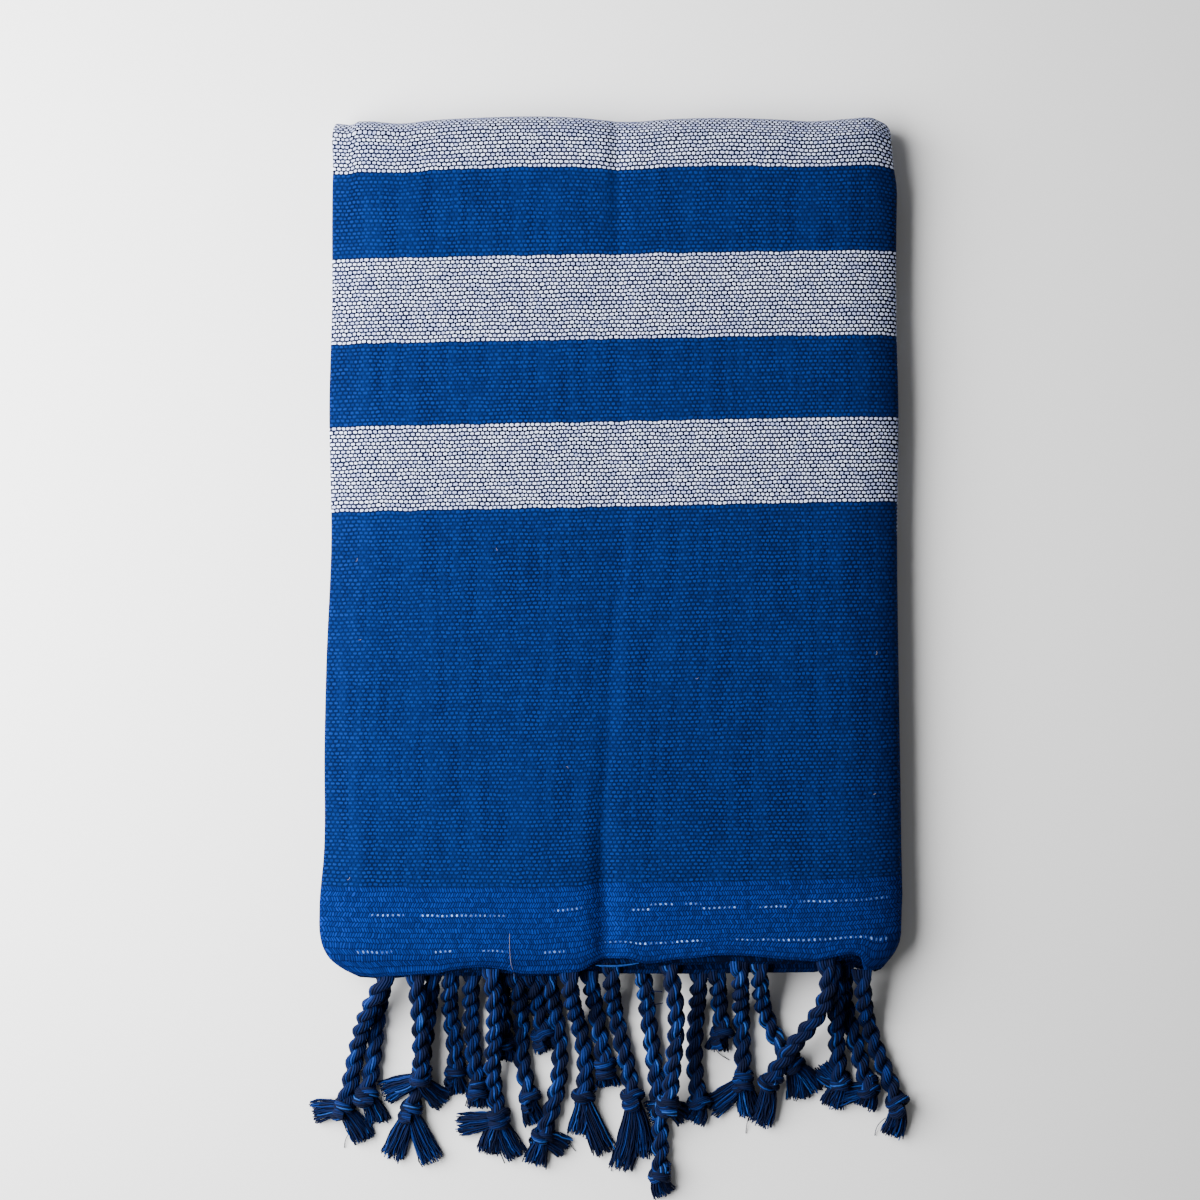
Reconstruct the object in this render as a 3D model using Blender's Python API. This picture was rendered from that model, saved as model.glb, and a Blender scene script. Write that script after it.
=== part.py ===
"""A striped fouta towel, folded in four across and in four along, lying flat.

One cloth with a twisted fringe at each end. Both ends come out at -Y, one level above the
other, and the thick outer fold is at +Y. Metres, +Z up, with the origin on the flat underside
below the middle of the cloth. The tables are in millimetres, as their readers say.
"""

import math
from collections import namedtuple

import bmesh
import bpy
from mathutils import Vector

MM = 0.001

# The cloth and how closely its layers lie
PLY = 1.25 * MM
PLY_PITCH = 1.60 * MM
PLIES = 4
LEVEL_GAP = 0.50 * MM
BUNDLE = (PLIES - 1) * PLY_PITCH + PLY
LEVEL_PITCH = BUNDLE + LEVEL_GAP
LEVELS = 4

# The pack's plan before its edges are made uneven
HALF_WIDTH = 125.0 * MM
FAR_Y = 187.5 * MM
NEAR_FOLD_Y = -184.0 * MM
CLOTH_END_Y = -185.0 * MM

# Folds across the cloth: where the bends and the two selvedges lie
RIGHT_BEND_X = HALF_WIDTH - 1.5 * PLY_PITCH - PLY / 2
LEFT_BEND_X = -HALF_WIDTH + PLY_PITCH / 2 + PLY / 2
SELVEDGE_UNDER_X = -HALF_WIDTH + 2.2 * MM
SELVEDGE_INNER_X = -HALF_WIDTH + 3.4 * MM
ACROSS_STOPS = tuple(x * MM for x in (-114, -88, -15, 0, 10, 88, 116))
OUTER_BEND_STEPS = 6
INNER_BEND_STEPS = 4

# Folds along the cloth: the middle lines of the three bends
FAR_BEND_Y = FAR_Y - 1.5 * LEVEL_PITCH - BUNDLE / 2
NEAR_BEND_Y = NEAR_FOLD_Y + LEVEL_PITCH / 2 + BUNDLE / 2
ALONG_STOPS = tuple(y * MM for y in (-168, -60, 60))

# The strip of cloth that carries each fringe
BACKING_LENGTH = 3.5 * MM
BACKING_GAP = 0.3 * MM

# Softness: how far each effect reaches from its edge, and its depth as a share of the height
BROAD_REACH = 42.0 * MM
BROAD_FALL = 0.07
LEFT_ROUND_REACH = 12.0 * MM
LEFT_ROUND_FALL = 0.09
RIGHT_ROUND_REACH = 9.0 * MM
RIGHT_ROUND_FALL = 0.08
NEAR_ROUND_REACH = 16.0 * MM
NEAR_ROUND_FALL = 0.05
HEM_REACH = 125.0 * MM
TOP_REACH = 60.0 * MM
EDGE_HOLD = 4

# The crease down the middle, where the pack was once folded in half
CREASE_FAR_X = 3.9 * MM
CREASE_NEAR_X = -4.4 * MM
CREASE_LEFT_REACH = 16.0 * MM
CREASE_RIGHT_REACH = 11.0 * MM
CREASE_DEPTH = 0.075

# The ropes of the fringe
ROPE_HALF_WIDE = 3.5 * MM
ROPE_HALF_HIGH = 2.6 * MM
ROOT_HALF_WIDE = 2.2 * MM
ROOT_HALF_HIGH = 0.42 * MM
ROOT_DEPTH = 2.4 * MM
ROOT_TAPER = 9.0 * MM
TWIST_PITCH = 15.7 * MM
RING_STEP = 2.25 * MM
KNOT_SWELL = 1.2 * MM
KNOT_REACH = 3.2 * MM

Edge = namedtuple("Edge", "y left right")
EDGES = (
    Edge(y=-189.5, left=-109.0, right=110.0),
    Edge(y=-186.0, left=-116.0, right=116.5),
    Edge(y=-181.0, left=-124.0, right=120.5),
    Edge(y=-173.0, left=-128.0, right=124.6),
    Edge(y=-160.0, left=-129.2, right=125.8),
    Edge(y=-135.0, left=-127.4, right=125.6),
    Edge(y=-50.0, left=-126.8, right=124.6),
    Edge(y=0.0, left=-124.8, right=124.2),
    Edge(y=64.0, left=-125.4, right=125.0),
    Edge(y=108.0, left=-125.2, right=123.8),
    Edge(y=160.0, left=-123.7, right=122.0),
    Edge(y=178.0, left=-122.0, right=120.2),
    Edge(y=188.0, left=-117.5, right=118.0),
)

# How far the ends and the far fold depart from a straight line
Hem = namedtuple("Hem", "x upper lower")
HEMS = (
    Hem(x=-125.0, upper=-2.5, lower=0.2),
    Hem(x=-114.0, upper=-4.2, lower=0.2),
    Hem(x=-88.0, upper=-3.6, lower=0.3),
    Hem(x=-15.0, upper=-1.9, lower=0.6),
    Hem(x=0.0, upper=2.6, lower=0.7),
    Hem(x=10.0, upper=3.4, lower=0.8),
    Hem(x=88.0, upper=2.2, lower=1.6),
    Hem(x=116.0, upper=-2.8, lower=2.0),
    Hem(x=125.0, upper=-2.0, lower=2.0),
)
Top = namedtuple("Top", "x shift")
TOPS = (
    Top(x=-125.0, shift=-3.8),
    Top(x=-110.0, shift=-0.9),
    Top(x=-40.0, shift=0.0),
    Top(x=0.0, shift=-1.3),
    Top(x=40.0, shift=-0.5),
    Top(x=108.0, shift=-0.8),
    Top(x=125.0, shift=-3.8),
)

# How far each level's folded edges stand in from the top level's, at either end
Level = namedtuple("Level", "number left_near left_far right_near right_far")
LEVEL_EDGES = (
    Level(number=1, left_near=0.0, left_far=0.0, right_near=0.0, right_far=0.0),
    Level(number=2, left_near=1.3, left_far=0.6, right_near=-1.1, right_far=-0.5),
    Level(number=3, left_near=0.4, left_far=1.0, right_near=-1.7, right_far=0.4),
    Level(number=4, left_near=1.6, left_far=1.2, right_near=-0.9, right_far=1.8),
)

# A rope runs from its root at the cloth's end to its knot, and its longest lock to the tip.
# bow and sway bend it sideways, once and in an S; droop is how far out it reaches the surface.
Rope = namedtuple("Rope", "name ply root knot_x knot_y bow sway droop tip_x tip_y")
UPPER_ROPES = (
    Rope("u01", 1, -103.8, -121.4, -251.4, -3.2, -0.9, 38, -134.8, -253.7),
    Rope("u02", 2, -89.4, -91.5, -243.4, 1.0, 0.0, 30, -98.9, -267.6),
    Rope("u03", 1, -52.2, -51.4, -255.9, -0.7, 1.3, 65, -56.8, -267.9),
    Rope("u04", 1, -16.0, -14.1, -245.6, 1.7, -1.3, 30, -6.0, -268.5),
    Rope("u05", 2, 3.0, 8.2, -246.8, -1.6, -0.7, 28, 3.7, -275.7),
    Rope("u06", 2, 27.4, 28.0, -241.7, 0.6, 1.2, 33, 27.7, -252.5),
    Rope("u07", 1, 57.5, 57.5, -238.9, 0.6, 0.0, 29, 43.6, -250.9),
    Rope("u08", 2, 66.8, 71.6, -233.1, -0.9, -0.5, 30, 67.6, -257.7),
    Rope("u09", 1, 89.6, 81.3, -231.3, 0.3, 1.1, 27, 89.1, -244.3),
    Rope("u10", 2, 97.2, 101.1, -240.7, 0.4, 0.3, 49, 97.3, -250.4),
    Rope("u11", 1, 112.0, 127.1, -249.2, -3.2, -0.5, 32, 124.3, -263.1),
)
LOWER_ROPES = (
    Rope("d01", 2, -99.5, -111.3, -245.6, -0.7, -0.7, 18, -106.4, -257.7),
    Rope("d02", 1, -81.4, -81.0, -241.2, 0.7, -0.4, 20, -80.2, -249.9),
    Rope("d03", 2, -71.6, -71.2, -235.4, -1.3, -0.8, 21, -70.8, -244.8),
    Rope("d04", 1, -61.8, -61.5, -243.0, -1.6, -0.2, 20, -61.2, -250.9),
    Rope("d05", 2, -41.4, -37.1, -251.4, -0.8, 1.2, 22, -34.2, -259.1),
    Rope("d06", 1, -24.6, -28.5, -258.6, 4.5, 0.6, 19, -33.5, -268.5),
    Rope("d07", 2, -7.0, -4.1, -233.6, 0.0, 0.0, 18, -2.9, -241.7),
    Rope("d08", 1, 16.7, 16.7, -280.5, 2.6, -1.0, 20, 20.3, -289.8),
    Rope("d09", 2, 40.6, 37.8, -248.7, -1.6, 0.6, 21, 35.3, -257.5),
    Rope("d10", 1, 102.6, 113.4, -242.5, -2.6, -0.6, 18, 112.0, -250.9),
    Rope("d11", 1, -48.4, -49.2, -223.4, 0.0, 0.0, 17, -49.0, -230.0),
    Rope("d12", 1, -33.4, -31.8, -219.3, -0.2, 0.0, 17, -30.2, -225.4),
    Rope("d13", 2, 48.2, 48.4, -218.2, 0.0, 0.0, 17, 46.1, -225.4),
)

# Shorter locks that leave a knot beside the longest one
Lock = namedtuple("Lock", "rope tip_x tip_y")
LOCKS = (
    Lock("u01", -114.1, -263.1),
    Lock("u02", -84.1, -263.2),
    Lock("u03", -65.3, -258.1),
    Lock("u03", -42.9, -267.6),
    Lock("u04", -16.9, -260.1),
    Lock("u07", 60.7, -254.0),
    Lock("u10", 94.8, -236.6),
    Lock("d06", -24.1, -268.5),
)
LOCK_SHAPE = (
    (0.00, 2.0 * MM, 1.6 * MM),
    (0.40, 3.8 * MM, 2.0 * MM),
    (0.75, 3.1 * MM, 1.5 * MM),
    (1.00, 1.4 * MM, 0.8 * MM),
)
LOCK_START = 1.2 * MM

NAVY = (0.010, 0.030, 0.150, 1.0)
BLUE = (0.012, 0.055, 0.240, 1.0)
COTTON_ROUGHNESS = 0.9


def clear_scene():
    for thing in list(bpy.data.objects):
        bpy.data.objects.remove(thing, do_unlink=True)


def cotton(name, colour):
    material = bpy.data.materials.new(name)
    material.use_nodes = True
    shader = material.node_tree.nodes["Principled BSDF"]
    shader.inputs["Base Color"].default_value = colour
    shader.inputs["Roughness"].default_value = COTTON_ROUGHNESS
    shader.inputs["Metallic"].default_value = 0.0
    return material


def read_table(rows, key, column, at):
    """One column of a millimetre table, read smoothly at a place in metres."""
    place = at / MM
    places = [getattr(row, key) for row in rows]
    values = [getattr(row, column) for row in rows]
    if place <= places[0]:
        return values[0] * MM
    for index in range(1, len(rows)):
        if place <= places[index]:
            share = (place - places[index - 1]) / (places[index] - places[index - 1])
            ease = share * share * (3 - 2 * share)
            return (values[index - 1] + (values[index] - values[index - 1]) * ease) * MM
    return values[-1] * MM


def fall(distance, reach, depth):
    """How much of the height is lost this far in from an edge."""
    if distance >= reach:
        return 0.0
    return depth * (1 - max(distance, 0.0) / reach) ** 2


# The section across the cloth: its middle line from selvedge to selvedge


def ply_offset(ply):
    return ((PLIES + 1) / 2 - ply) * PLY_PITCH


def flat_run(ply, start, end):
    """Samples (x, n, normal x, normal n) along one flat layer."""
    way = 1.0 if end > start else -1.0
    stops = [x for x in ACROSS_STOPS if min(start, end) < x < max(start, end)]
    ordered = [start] + sorted(stops, reverse=way < 0) + [end]
    return [(x, ply_offset(ply), 0.0, way) for x in ordered]


def bend(centre_x, centre_n, radius, start, end, steps):
    """Samples inside a half-round bend, without the two that its layers already have."""
    way = 1.0 if end > start else -1.0
    samples = []
    for step in range(1, steps):
        angle = math.radians(start + (end - start) * step / steps)
        out_x = math.cos(angle)
        out_n = math.sin(angle)
        samples.append((centre_x + radius * out_x, centre_n + radius * out_n, -way * out_x, -way * out_n))
    return samples


def section_line():
    line = flat_run(4, SELVEDGE_UNDER_X, RIGHT_BEND_X)
    line += bend(RIGHT_BEND_X, 0.0, 1.5 * PLY_PITCH, -90, 90, OUTER_BEND_STEPS)
    line += flat_run(1, RIGHT_BEND_X, LEFT_BEND_X)
    line += bend(LEFT_BEND_X, PLY_PITCH, PLY_PITCH / 2, 90, 270, INNER_BEND_STEPS)
    line += flat_run(2, LEFT_BEND_X, RIGHT_BEND_X)
    line += bend(RIGHT_BEND_X, 0.0, PLY_PITCH / 2, 90, -90, INNER_BEND_STEPS)
    line += flat_run(3, RIGHT_BEND_X, SELVEDGE_INNER_X)
    return line


# The path along the cloth: where each section stands, from the upper end to the lower one

Station = namedtuple("Station", "y z normal_y normal_z level end end_weight")


def level_height(level):
    return (LEVELS - level) * LEVEL_PITCH + BUNDLE / 2


def end_weight(y):
    """How strongly the shape of the cloth's end is felt at a place along a level."""
    share = min(max((y - CLOTH_END_Y) / HEM_REACH, 0.0), 1.0)
    return (1 - share) ** 2


def level_stations(level, ys, end=None):
    up = 1.0 if level in (1, 3) else -1.0
    height = level_height(level)
    return [Station(y, height, 0.0, up, level, end, end_weight(y) if end else 0.0) for y in ys]


def fold_stations(y, from_level, to_level, side, outward, steps):
    """Stations inside a fold that joins two levels, on the side +1 (far) or -1 (near)."""
    start = level_height(from_level)
    finish = level_height(to_level)
    middle = (start + finish) / 2
    radius = abs(start - finish) / 2
    first = 1.0 if start > middle else -1.0
    stations = []
    for step in range(1, steps):
        angle = math.pi * step / steps
        out_y = side * math.sin(angle)
        out_z = first * math.cos(angle)
        level = from_level + (to_level - from_level) * step / steps
        stations.append(
            Station(
                y + radius * out_y, middle + radius * out_z, outward * out_y, outward * out_z, level, None, 0.0
            )
        )
    return stations


def cloth_path():
    inner = list(ALONG_STOPS)
    outer_ends = [NEAR_BEND_Y] + inner + [FAR_BEND_Y]
    free_end = CLOTH_END_Y + BACKING_LENGTH + BACKING_GAP
    path = level_stations(1, [free_end] + outer_ends, "upper")
    path += fold_stations(FAR_BEND_Y, 1, 4, 1, 1, OUTER_BEND_STEPS)
    path += level_stations(4, outer_ends[::-1])
    path += fold_stations(NEAR_BEND_Y, 4, 3, -1, 1, INNER_BEND_STEPS)
    path += level_stations(3, outer_ends)
    path += fold_stations(FAR_BEND_Y, 3, 2, 1, -1, INNER_BEND_STEPS)
    path += level_stations(2, outer_ends[::-1] + [free_end], "lower")
    return path


def backing_path(end):
    level = 1 if end == "upper" else 2
    return level_stations(level, [CLOTH_END_Y, CLOTH_END_Y + BACKING_LENGTH], end)


# Softening: from the straight pack to the uneven one


def crease_x(y):
    share = (y - NEAR_FOLD_Y) / (FAR_Y - NEAR_FOLD_Y)
    return CREASE_NEAR_X + (CREASE_FAR_X - CREASE_NEAR_X) * share


def height_left(x, y):
    """The share of the straight height that the soft pack keeps at a place."""
    left = read_table(EDGES, "y", "left", y)
    right = read_table(EDGES, "y", "right", y)
    lost = fall(x - left, BROAD_REACH, BROAD_FALL) + fall(right - x, BROAD_REACH, BROAD_FALL)
    lost += fall(x - left, LEFT_ROUND_REACH, LEFT_ROUND_FALL)
    lost += fall(right - x, RIGHT_ROUND_REACH, RIGHT_ROUND_FALL)
    lost += fall(y - CLOTH_END_Y, NEAR_ROUND_REACH, NEAR_ROUND_FALL)
    off = x - crease_x(y)
    reach = CREASE_LEFT_REACH if off < 0 else CREASE_RIGHT_REACH
    lost += fall(abs(off), reach, CREASE_DEPTH)
    return 1 - lost


def level_inset(level, side, y):
    """How far a level's edge stands in from the top level's edge, blended inside a fold."""
    below = LEVEL_EDGES[min(int(level), LEVELS) - 1]
    above = LEVEL_EDGES[min(int(level) + 1, LEVELS) - 1]
    along = min(max((y - CLOTH_END_Y) / (FAR_Y - CLOTH_END_Y), 0.0), 1.0)
    insets = []
    for row in (below, above):
        near = getattr(row, side + "_near")
        far = getattr(row, side + "_far")
        insets.append(near + (far - near) * along)
    share = level - int(level)
    return (insets[0] + (insets[1] - insets[0]) * share) * MM


def soften(x, n, station):
    """Where a point of the straight pack lies once the pack is uneven."""
    y = station.y + n * station.normal_y
    z = station.z + n * station.normal_z
    if station.end:
        y += read_table(HEMS, "x", station.end, x) * station.end_weight
    y += read_table(TOPS, "x", "shift", x) * max(0.0, 1 - (FAR_Y - y) / TOP_REACH)
    side = abs(x) / HALF_WIDTH
    if x < 0:
        edge = read_table(EDGES, "y", "left", y) + HALF_WIDTH + level_inset(station.level, "left", y)
    else:
        edge = read_table(EDGES, "y", "right", y) - HALF_WIDTH - level_inset(station.level, "right", y)
    shift = edge * side ** EDGE_HOLD + crease_x(y) * max(0.0, 1 - side)
    return Vector((x + shift, y, z * height_left(x + shift, y)))


def sweep_cloth(name, path, material):
    """The thick folded cloth along a path, as one closed mesh."""
    line = section_line()
    mesh = bmesh.new()
    rings = []
    for station in path:
        faces = []
        for half in (PLY / 2, -PLY / 2):
            points = [soften(x + half * nx, n + half * nn, station) for x, n, nx, nn in line]
            faces.append([mesh.verts.new(point) for point in points])
        rings.append(faces)
    last = len(line) - 1
    for here, there in zip(rings, rings[1:]):
        for side in (0, 1):
            for index in range(last):
                corners = (here[side][index], here[side][index + 1], there[side][index + 1], there[side][index])
                mesh.faces.new(corners)
        for index in (0, last):
            mesh.faces.new((here[0][index], here[1][index], there[1][index], there[0][index]))
    for cap in (rings[0], rings[-1]):
        for index in range(last):
            mesh.faces.new((cap[0][index], cap[0][index + 1], cap[1][index + 1], cap[1][index]))
    return finish_mesh(name, mesh, material)


def finish_mesh(name, mesh, material):
    bmesh.ops.triangulate(mesh, faces=mesh.faces[:])
    bmesh.ops.recalc_face_normals(mesh, faces=mesh.faces[:])
    data = bpy.data.meshes.new(name)
    mesh.to_mesh(data)
    mesh.free()
    data.materials.append(material)
    thing = bpy.data.objects.new(name, data)
    bpy.context.scene.collection.objects.link(thing)
    return thing


# The fringe: ropes from the cloth's end to their knots, and frayed locks beyond

Ring = namedtuple("Ring", "centre half_wide half_high turn")


def root_point(rope, end):
    level = 1 if end == "upper" else 2
    station = level_stations(level, [CLOTH_END_Y], end)[0]
    return soften(rope.root * MM, ply_offset(rope.ply), station)


def rope_plan(rope, root, share):
    """Where the rope is, seen from above, at a share of its way from root to knot."""
    bow = rope.bow * MM * math.sin(math.pi * share)
    sway = rope.sway * MM * math.sin(2 * math.pi * share)
    x = root.x + (rope.knot_x * MM - root.x) * share + bow + sway
    y = root.y + (rope.knot_y * MM - root.y) * share
    return x, y


def rope_rings(rope, end):
    root = root_point(rope, end)
    length = root.y - rope.knot_y * MM
    steps = round(length / RING_STEP)
    half_turns = max(1, round(2 * length / TWIST_PITCH))
    rings = [Ring(root + Vector((0, ROOT_DEPTH, 0)), ROOT_HALF_WIDE, ROOT_HALF_HIGH, 0.0)]
    for step in range(steps + 2):
        share = step / steps
        x, y = rope_plan(rope, root, share)
        out = root.y - y
        grown = min(1.0, out / ROOT_TAPER)
        swell = KNOT_SWELL * math.exp(-(((y - rope.knot_y * MM) / KNOT_REACH) ** 2))
        wide = ROOT_HALF_WIDE + (ROPE_HALF_WIDE - ROOT_HALF_WIDE) * grown + swell
        high = ROOT_HALF_HIGH + (ROPE_HALF_HIGH - ROOT_HALF_HIGH) * grown + swell
        rest = ROPE_HALF_WIDE + swell
        drop = min(1.0, out / (rope.droop * MM))
        z = rest + (root.z - rest) * (1 + math.cos(math.pi * drop)) / 2
        rings.append(Ring(Vector((x, y, z)), wide, high, math.pi * half_turns * share))
    return rings


def lock_rings(knot_x, knot_y, tip_x, tip_y):
    """A flat frayed lock on the surface, from inside the knot to its tip."""
    rings = []
    for share, half_wide, half_high in LOCK_SHAPE:
        x = knot_x + (tip_x - knot_x) * share
        y = knot_y + (tip_y - knot_y) * share
        z = half_high + LOCK_START * (1 - share)
        rings.append(Ring(Vector((x, y, z)), half_wide, half_high, 0.0))
    return rings


def loft_rings(name, rings, material):
    """A four-sided solid through the rings, each turned about the line that they follow."""
    mesh = bmesh.new()
    loops = []
    for index, ring in enumerate(rings):
        before = rings[max(index - 1, 0)].centre
        after = rings[min(index + 1, len(rings) - 1)].centre
        along = (after - before).normalized()
        side = along.cross(Vector((0, 0, 1))).normalized()
        up = side.cross(along)
        wide = (side * math.cos(ring.turn) + up * math.sin(ring.turn)) * ring.half_wide
        high = (up * math.cos(ring.turn) - side * math.sin(ring.turn)) * ring.half_high
        corners = (ring.centre + wide, ring.centre + high, ring.centre - wide, ring.centre - high)
        loops.append([mesh.verts.new(corner) for corner in corners])
    sides = len(loops[0])
    for here, there in zip(loops, loops[1:]):
        for corner in range(sides):
            after = (corner + 1) % sides
            mesh.faces.new((here[corner], here[after], there[after], there[corner]))
    mesh.faces.new(loops[0])
    mesh.faces.new(loops[-1])
    return finish_mesh(name, mesh, material)


def fringe(name, end, ropes, material):
    """A strip of the cloth's end with its ropes fused to it."""
    backing = sweep_cloth(name, backing_path(end), material)
    group = bpy.data.collections.new(name + "_ropes")
    bpy.context.scene.collection.children.link(group)
    for rope in ropes:
        parts = [rope_rings(rope, end)]
        tips = [(rope.tip_x, rope.tip_y)]
        tips += [(lock.tip_x, lock.tip_y) for lock in LOCKS if lock.rope == rope.name]
        for tip_x, tip_y in tips:
            parts.append(lock_rings(rope.knot_x * MM, rope.knot_y * MM, tip_x * MM, tip_y * MM))
        for number, part in enumerate(parts):
            piece = loft_rings(f"{rope.name}_{number}", part, material)
            piece.hide_render = True
            piece.display_type = "WIRE"
            bpy.context.scene.collection.objects.unlink(piece)
            group.objects.link(piece)
    join = backing.modifiers.new("ropes", "BOOLEAN")
    join.operation = "UNION"
    join.operand_type = "COLLECTION"
    join.solver = "EXACT"
    join.collection = group
    return backing


def main():
    clear_scene()
    sweep_cloth("folded_cloth", cloth_path(), cotton("cotton_blue", BLUE))
    navy = cotton("cotton_navy", NAVY)
    fringe("fringe_upper", "upper", UPPER_ROPES, navy)
    fringe("fringe_lower", "lower", LOWER_ROPES, navy)


if __name__ == "__main__":
    main()
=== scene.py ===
"""The looks of a striped fouta towel, folded flat, with a twisted and knotted fringe.

The cloth is one thick sheet, folded in four across and then in four along. Both of its ends
come out at -Y, one level above the other, and its ropes lie on the surface in front. Metres,
+Z up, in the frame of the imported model. Tables are in millimetres, as Profile reads them.
"""

from __future__ import annotations

import logging
import math
import random
from dataclasses import dataclass
from enum import Enum
from typing import NamedTuple, Union

import bpy
import numpy as np
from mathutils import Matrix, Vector


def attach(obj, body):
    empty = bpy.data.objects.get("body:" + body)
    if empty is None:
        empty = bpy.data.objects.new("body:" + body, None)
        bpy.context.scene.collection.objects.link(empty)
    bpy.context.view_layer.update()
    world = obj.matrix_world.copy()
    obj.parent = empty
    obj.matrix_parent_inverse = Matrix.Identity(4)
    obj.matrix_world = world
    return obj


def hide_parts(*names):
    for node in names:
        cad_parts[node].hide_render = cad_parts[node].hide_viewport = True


MM = 0.001
BODY = "root"
LOG = logging.getLogger("fouta")
Socket = bpy.types.NodeSocket
Value = Union[Socket, float, tuple]
Colour = tuple[float, float, float, float]
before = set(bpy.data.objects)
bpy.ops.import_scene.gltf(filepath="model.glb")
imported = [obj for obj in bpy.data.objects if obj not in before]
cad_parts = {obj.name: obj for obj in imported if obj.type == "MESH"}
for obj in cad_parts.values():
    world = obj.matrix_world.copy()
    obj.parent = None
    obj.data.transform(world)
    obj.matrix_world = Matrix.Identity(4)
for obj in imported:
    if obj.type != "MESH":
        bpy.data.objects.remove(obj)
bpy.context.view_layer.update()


# Curves read from short tables


@dataclass(frozen=True)
class Profile:
    """A smooth curve through the rows of a millimetre table."""

    places: tuple[float, ...]
    values: tuple[float, ...]

    @classmethod
    def of(cls, rows: tuple, key: str, column: str) -> Profile:
        """One column of a table against its key.

        Args:
            rows: the table, in rising order of its key.
            key: the name of the column that gives the place.
            column: the name of the column that gives the value.

        Returns:
            The curve through the rows.
        """
        places = tuple(getattr(row, key) for row in rows)
        return cls(places, tuple(getattr(row, column) for row in rows))

    def at(self, where: np.ndarray) -> np.ndarray:
        """The curve's values, which pass smoothly through the rows.

        Args:
            where: places in metres.

        Returns:
            Values in metres, and those of the first and last row beyond the table.
        """
        place = np.asarray(where, dtype=float) / MM
        stops = np.asarray(self.places)
        values = np.asarray(self.values)
        row = np.clip(np.searchsorted(stops, place) - 1, 0, len(stops) - 2)
        slopes = np.gradient(values, stops)
        width = stops[row + 1] - stops[row]
        share = np.clip((place - stops[row]) / width, 0.0, 1.0)
        ease = share * share * (3 - 2 * share)
        leaving = slopes[row] * width * share * (1 - share) ** 2
        arriving = slopes[row + 1] * width * share**2 * (share - 1)
        return (values[row] + (values[row + 1] - values[row]) * ease + leaving + arriving) * MM


class Edge(NamedTuple):
    """Where the pack's left and right edges lie at one place along it."""

    y: float
    left: float
    right: float


class Hem(NamedTuple):
    """How far each end of the cloth departs from straight, with a long reach."""

    x: float
    upper: float
    lower: float


class Pucker(NamedTuple):
    """How far the upper end's outer ply and the plies below it depart further, with a short reach."""

    x: float
    outer: float
    inner: float


class Shift(NamedTuple):
    """How far a line departs from straight at one place across the pack."""

    x: float
    shift: float


class Skew(NamedTuple):
    """How much lower the picks lie at the left edge than at the right one."""

    y: float
    drop: float


class Crease(NamedTuple):
    """Where the middle crease runs, its depth in thousandths of the height, and how wide its sides are."""

    y: float
    x: float
    depth: float
    left: float
    right: float


class Level(NamedTuple):
    """How far a level's folded edges stand in from the top level's, near and far."""

    number: int
    left_near: float
    left_far: float
    right_near: float
    right_far: float


EDGES = (
    Edge(y=-191.0, left=-112.0, right=114.5),
    Edge(y=-189.0, left=-116.4, right=117.2),
    Edge(y=-187.0, left=-120.4, right=119.0),
    Edge(y=-184.0, left=-124.4, right=121.4),
    Edge(y=-180.0, left=-127.4, right=124.0),
    Edge(y=-176.0, left=-129.2, right=125.7),
    Edge(y=-172.0, left=-130.1, right=126.6),
    Edge(y=-160.0, left=-130.4, right=127.0),
    Edge(y=-135.0, left=-128.4, right=126.6),
    Edge(y=-90.0, left=-128.2, right=126.0),
    Edge(y=-50.0, left=-127.3, right=125.4),
    Edge(y=0.0, left=-125.2, right=124.9),
    Edge(y=64.0, left=-126.0, right=125.6),
    Edge(y=108.0, left=-124.8, right=124.6),
    Edge(y=145.0, left=-124.8, right=124.8),
    Edge(y=161.0, left=-124.6, right=124.8),
    Edge(y=167.0, left=-124.4, right=123.8),
    Edge(y=174.0, left=-124.6, right=123.0),
    Edge(y=182.0, left=-125.2, right=122.2),
    Edge(y=187.0, left=-125.2, right=121.8),
    Edge(y=191.0, left=-125.0, right=121.0),
)
HEMS = (
    Hem(x=-125.0, upper=-1.3, lower=-2.0),
    Hem(x=-112.0, upper=-1.4, lower=-4.4),
    Hem(x=-94.0, upper=-1.6, lower=-5.0),
    Hem(x=-60.0, upper=-1.7, lower=-5.0),
    Hem(x=-25.0, upper=-1.7, lower=-5.2),
    Hem(x=-12.0, upper=-0.5, lower=-5.0),
    Hem(x=0.0, upper=1.9, lower=-4.4),
    Hem(x=20.0, upper=2.5, lower=-4.0),
    Hem(x=40.0, upper=3.4, lower=-4.2),
    Hem(x=60.0, upper=3.9, lower=-3.6),
    Hem(x=80.0, upper=4.6, lower=-3.6),
    Hem(x=93.0, upper=5.0, lower=-3.0),
    Hem(x=99.0, upper=5.2, lower=0.2),
    Hem(x=104.0, upper=5.5, lower=0.6),
    Hem(x=110.0, upper=5.9, lower=-2.2),
    Hem(x=125.0, upper=7.1, lower=-2.4),
)
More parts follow.
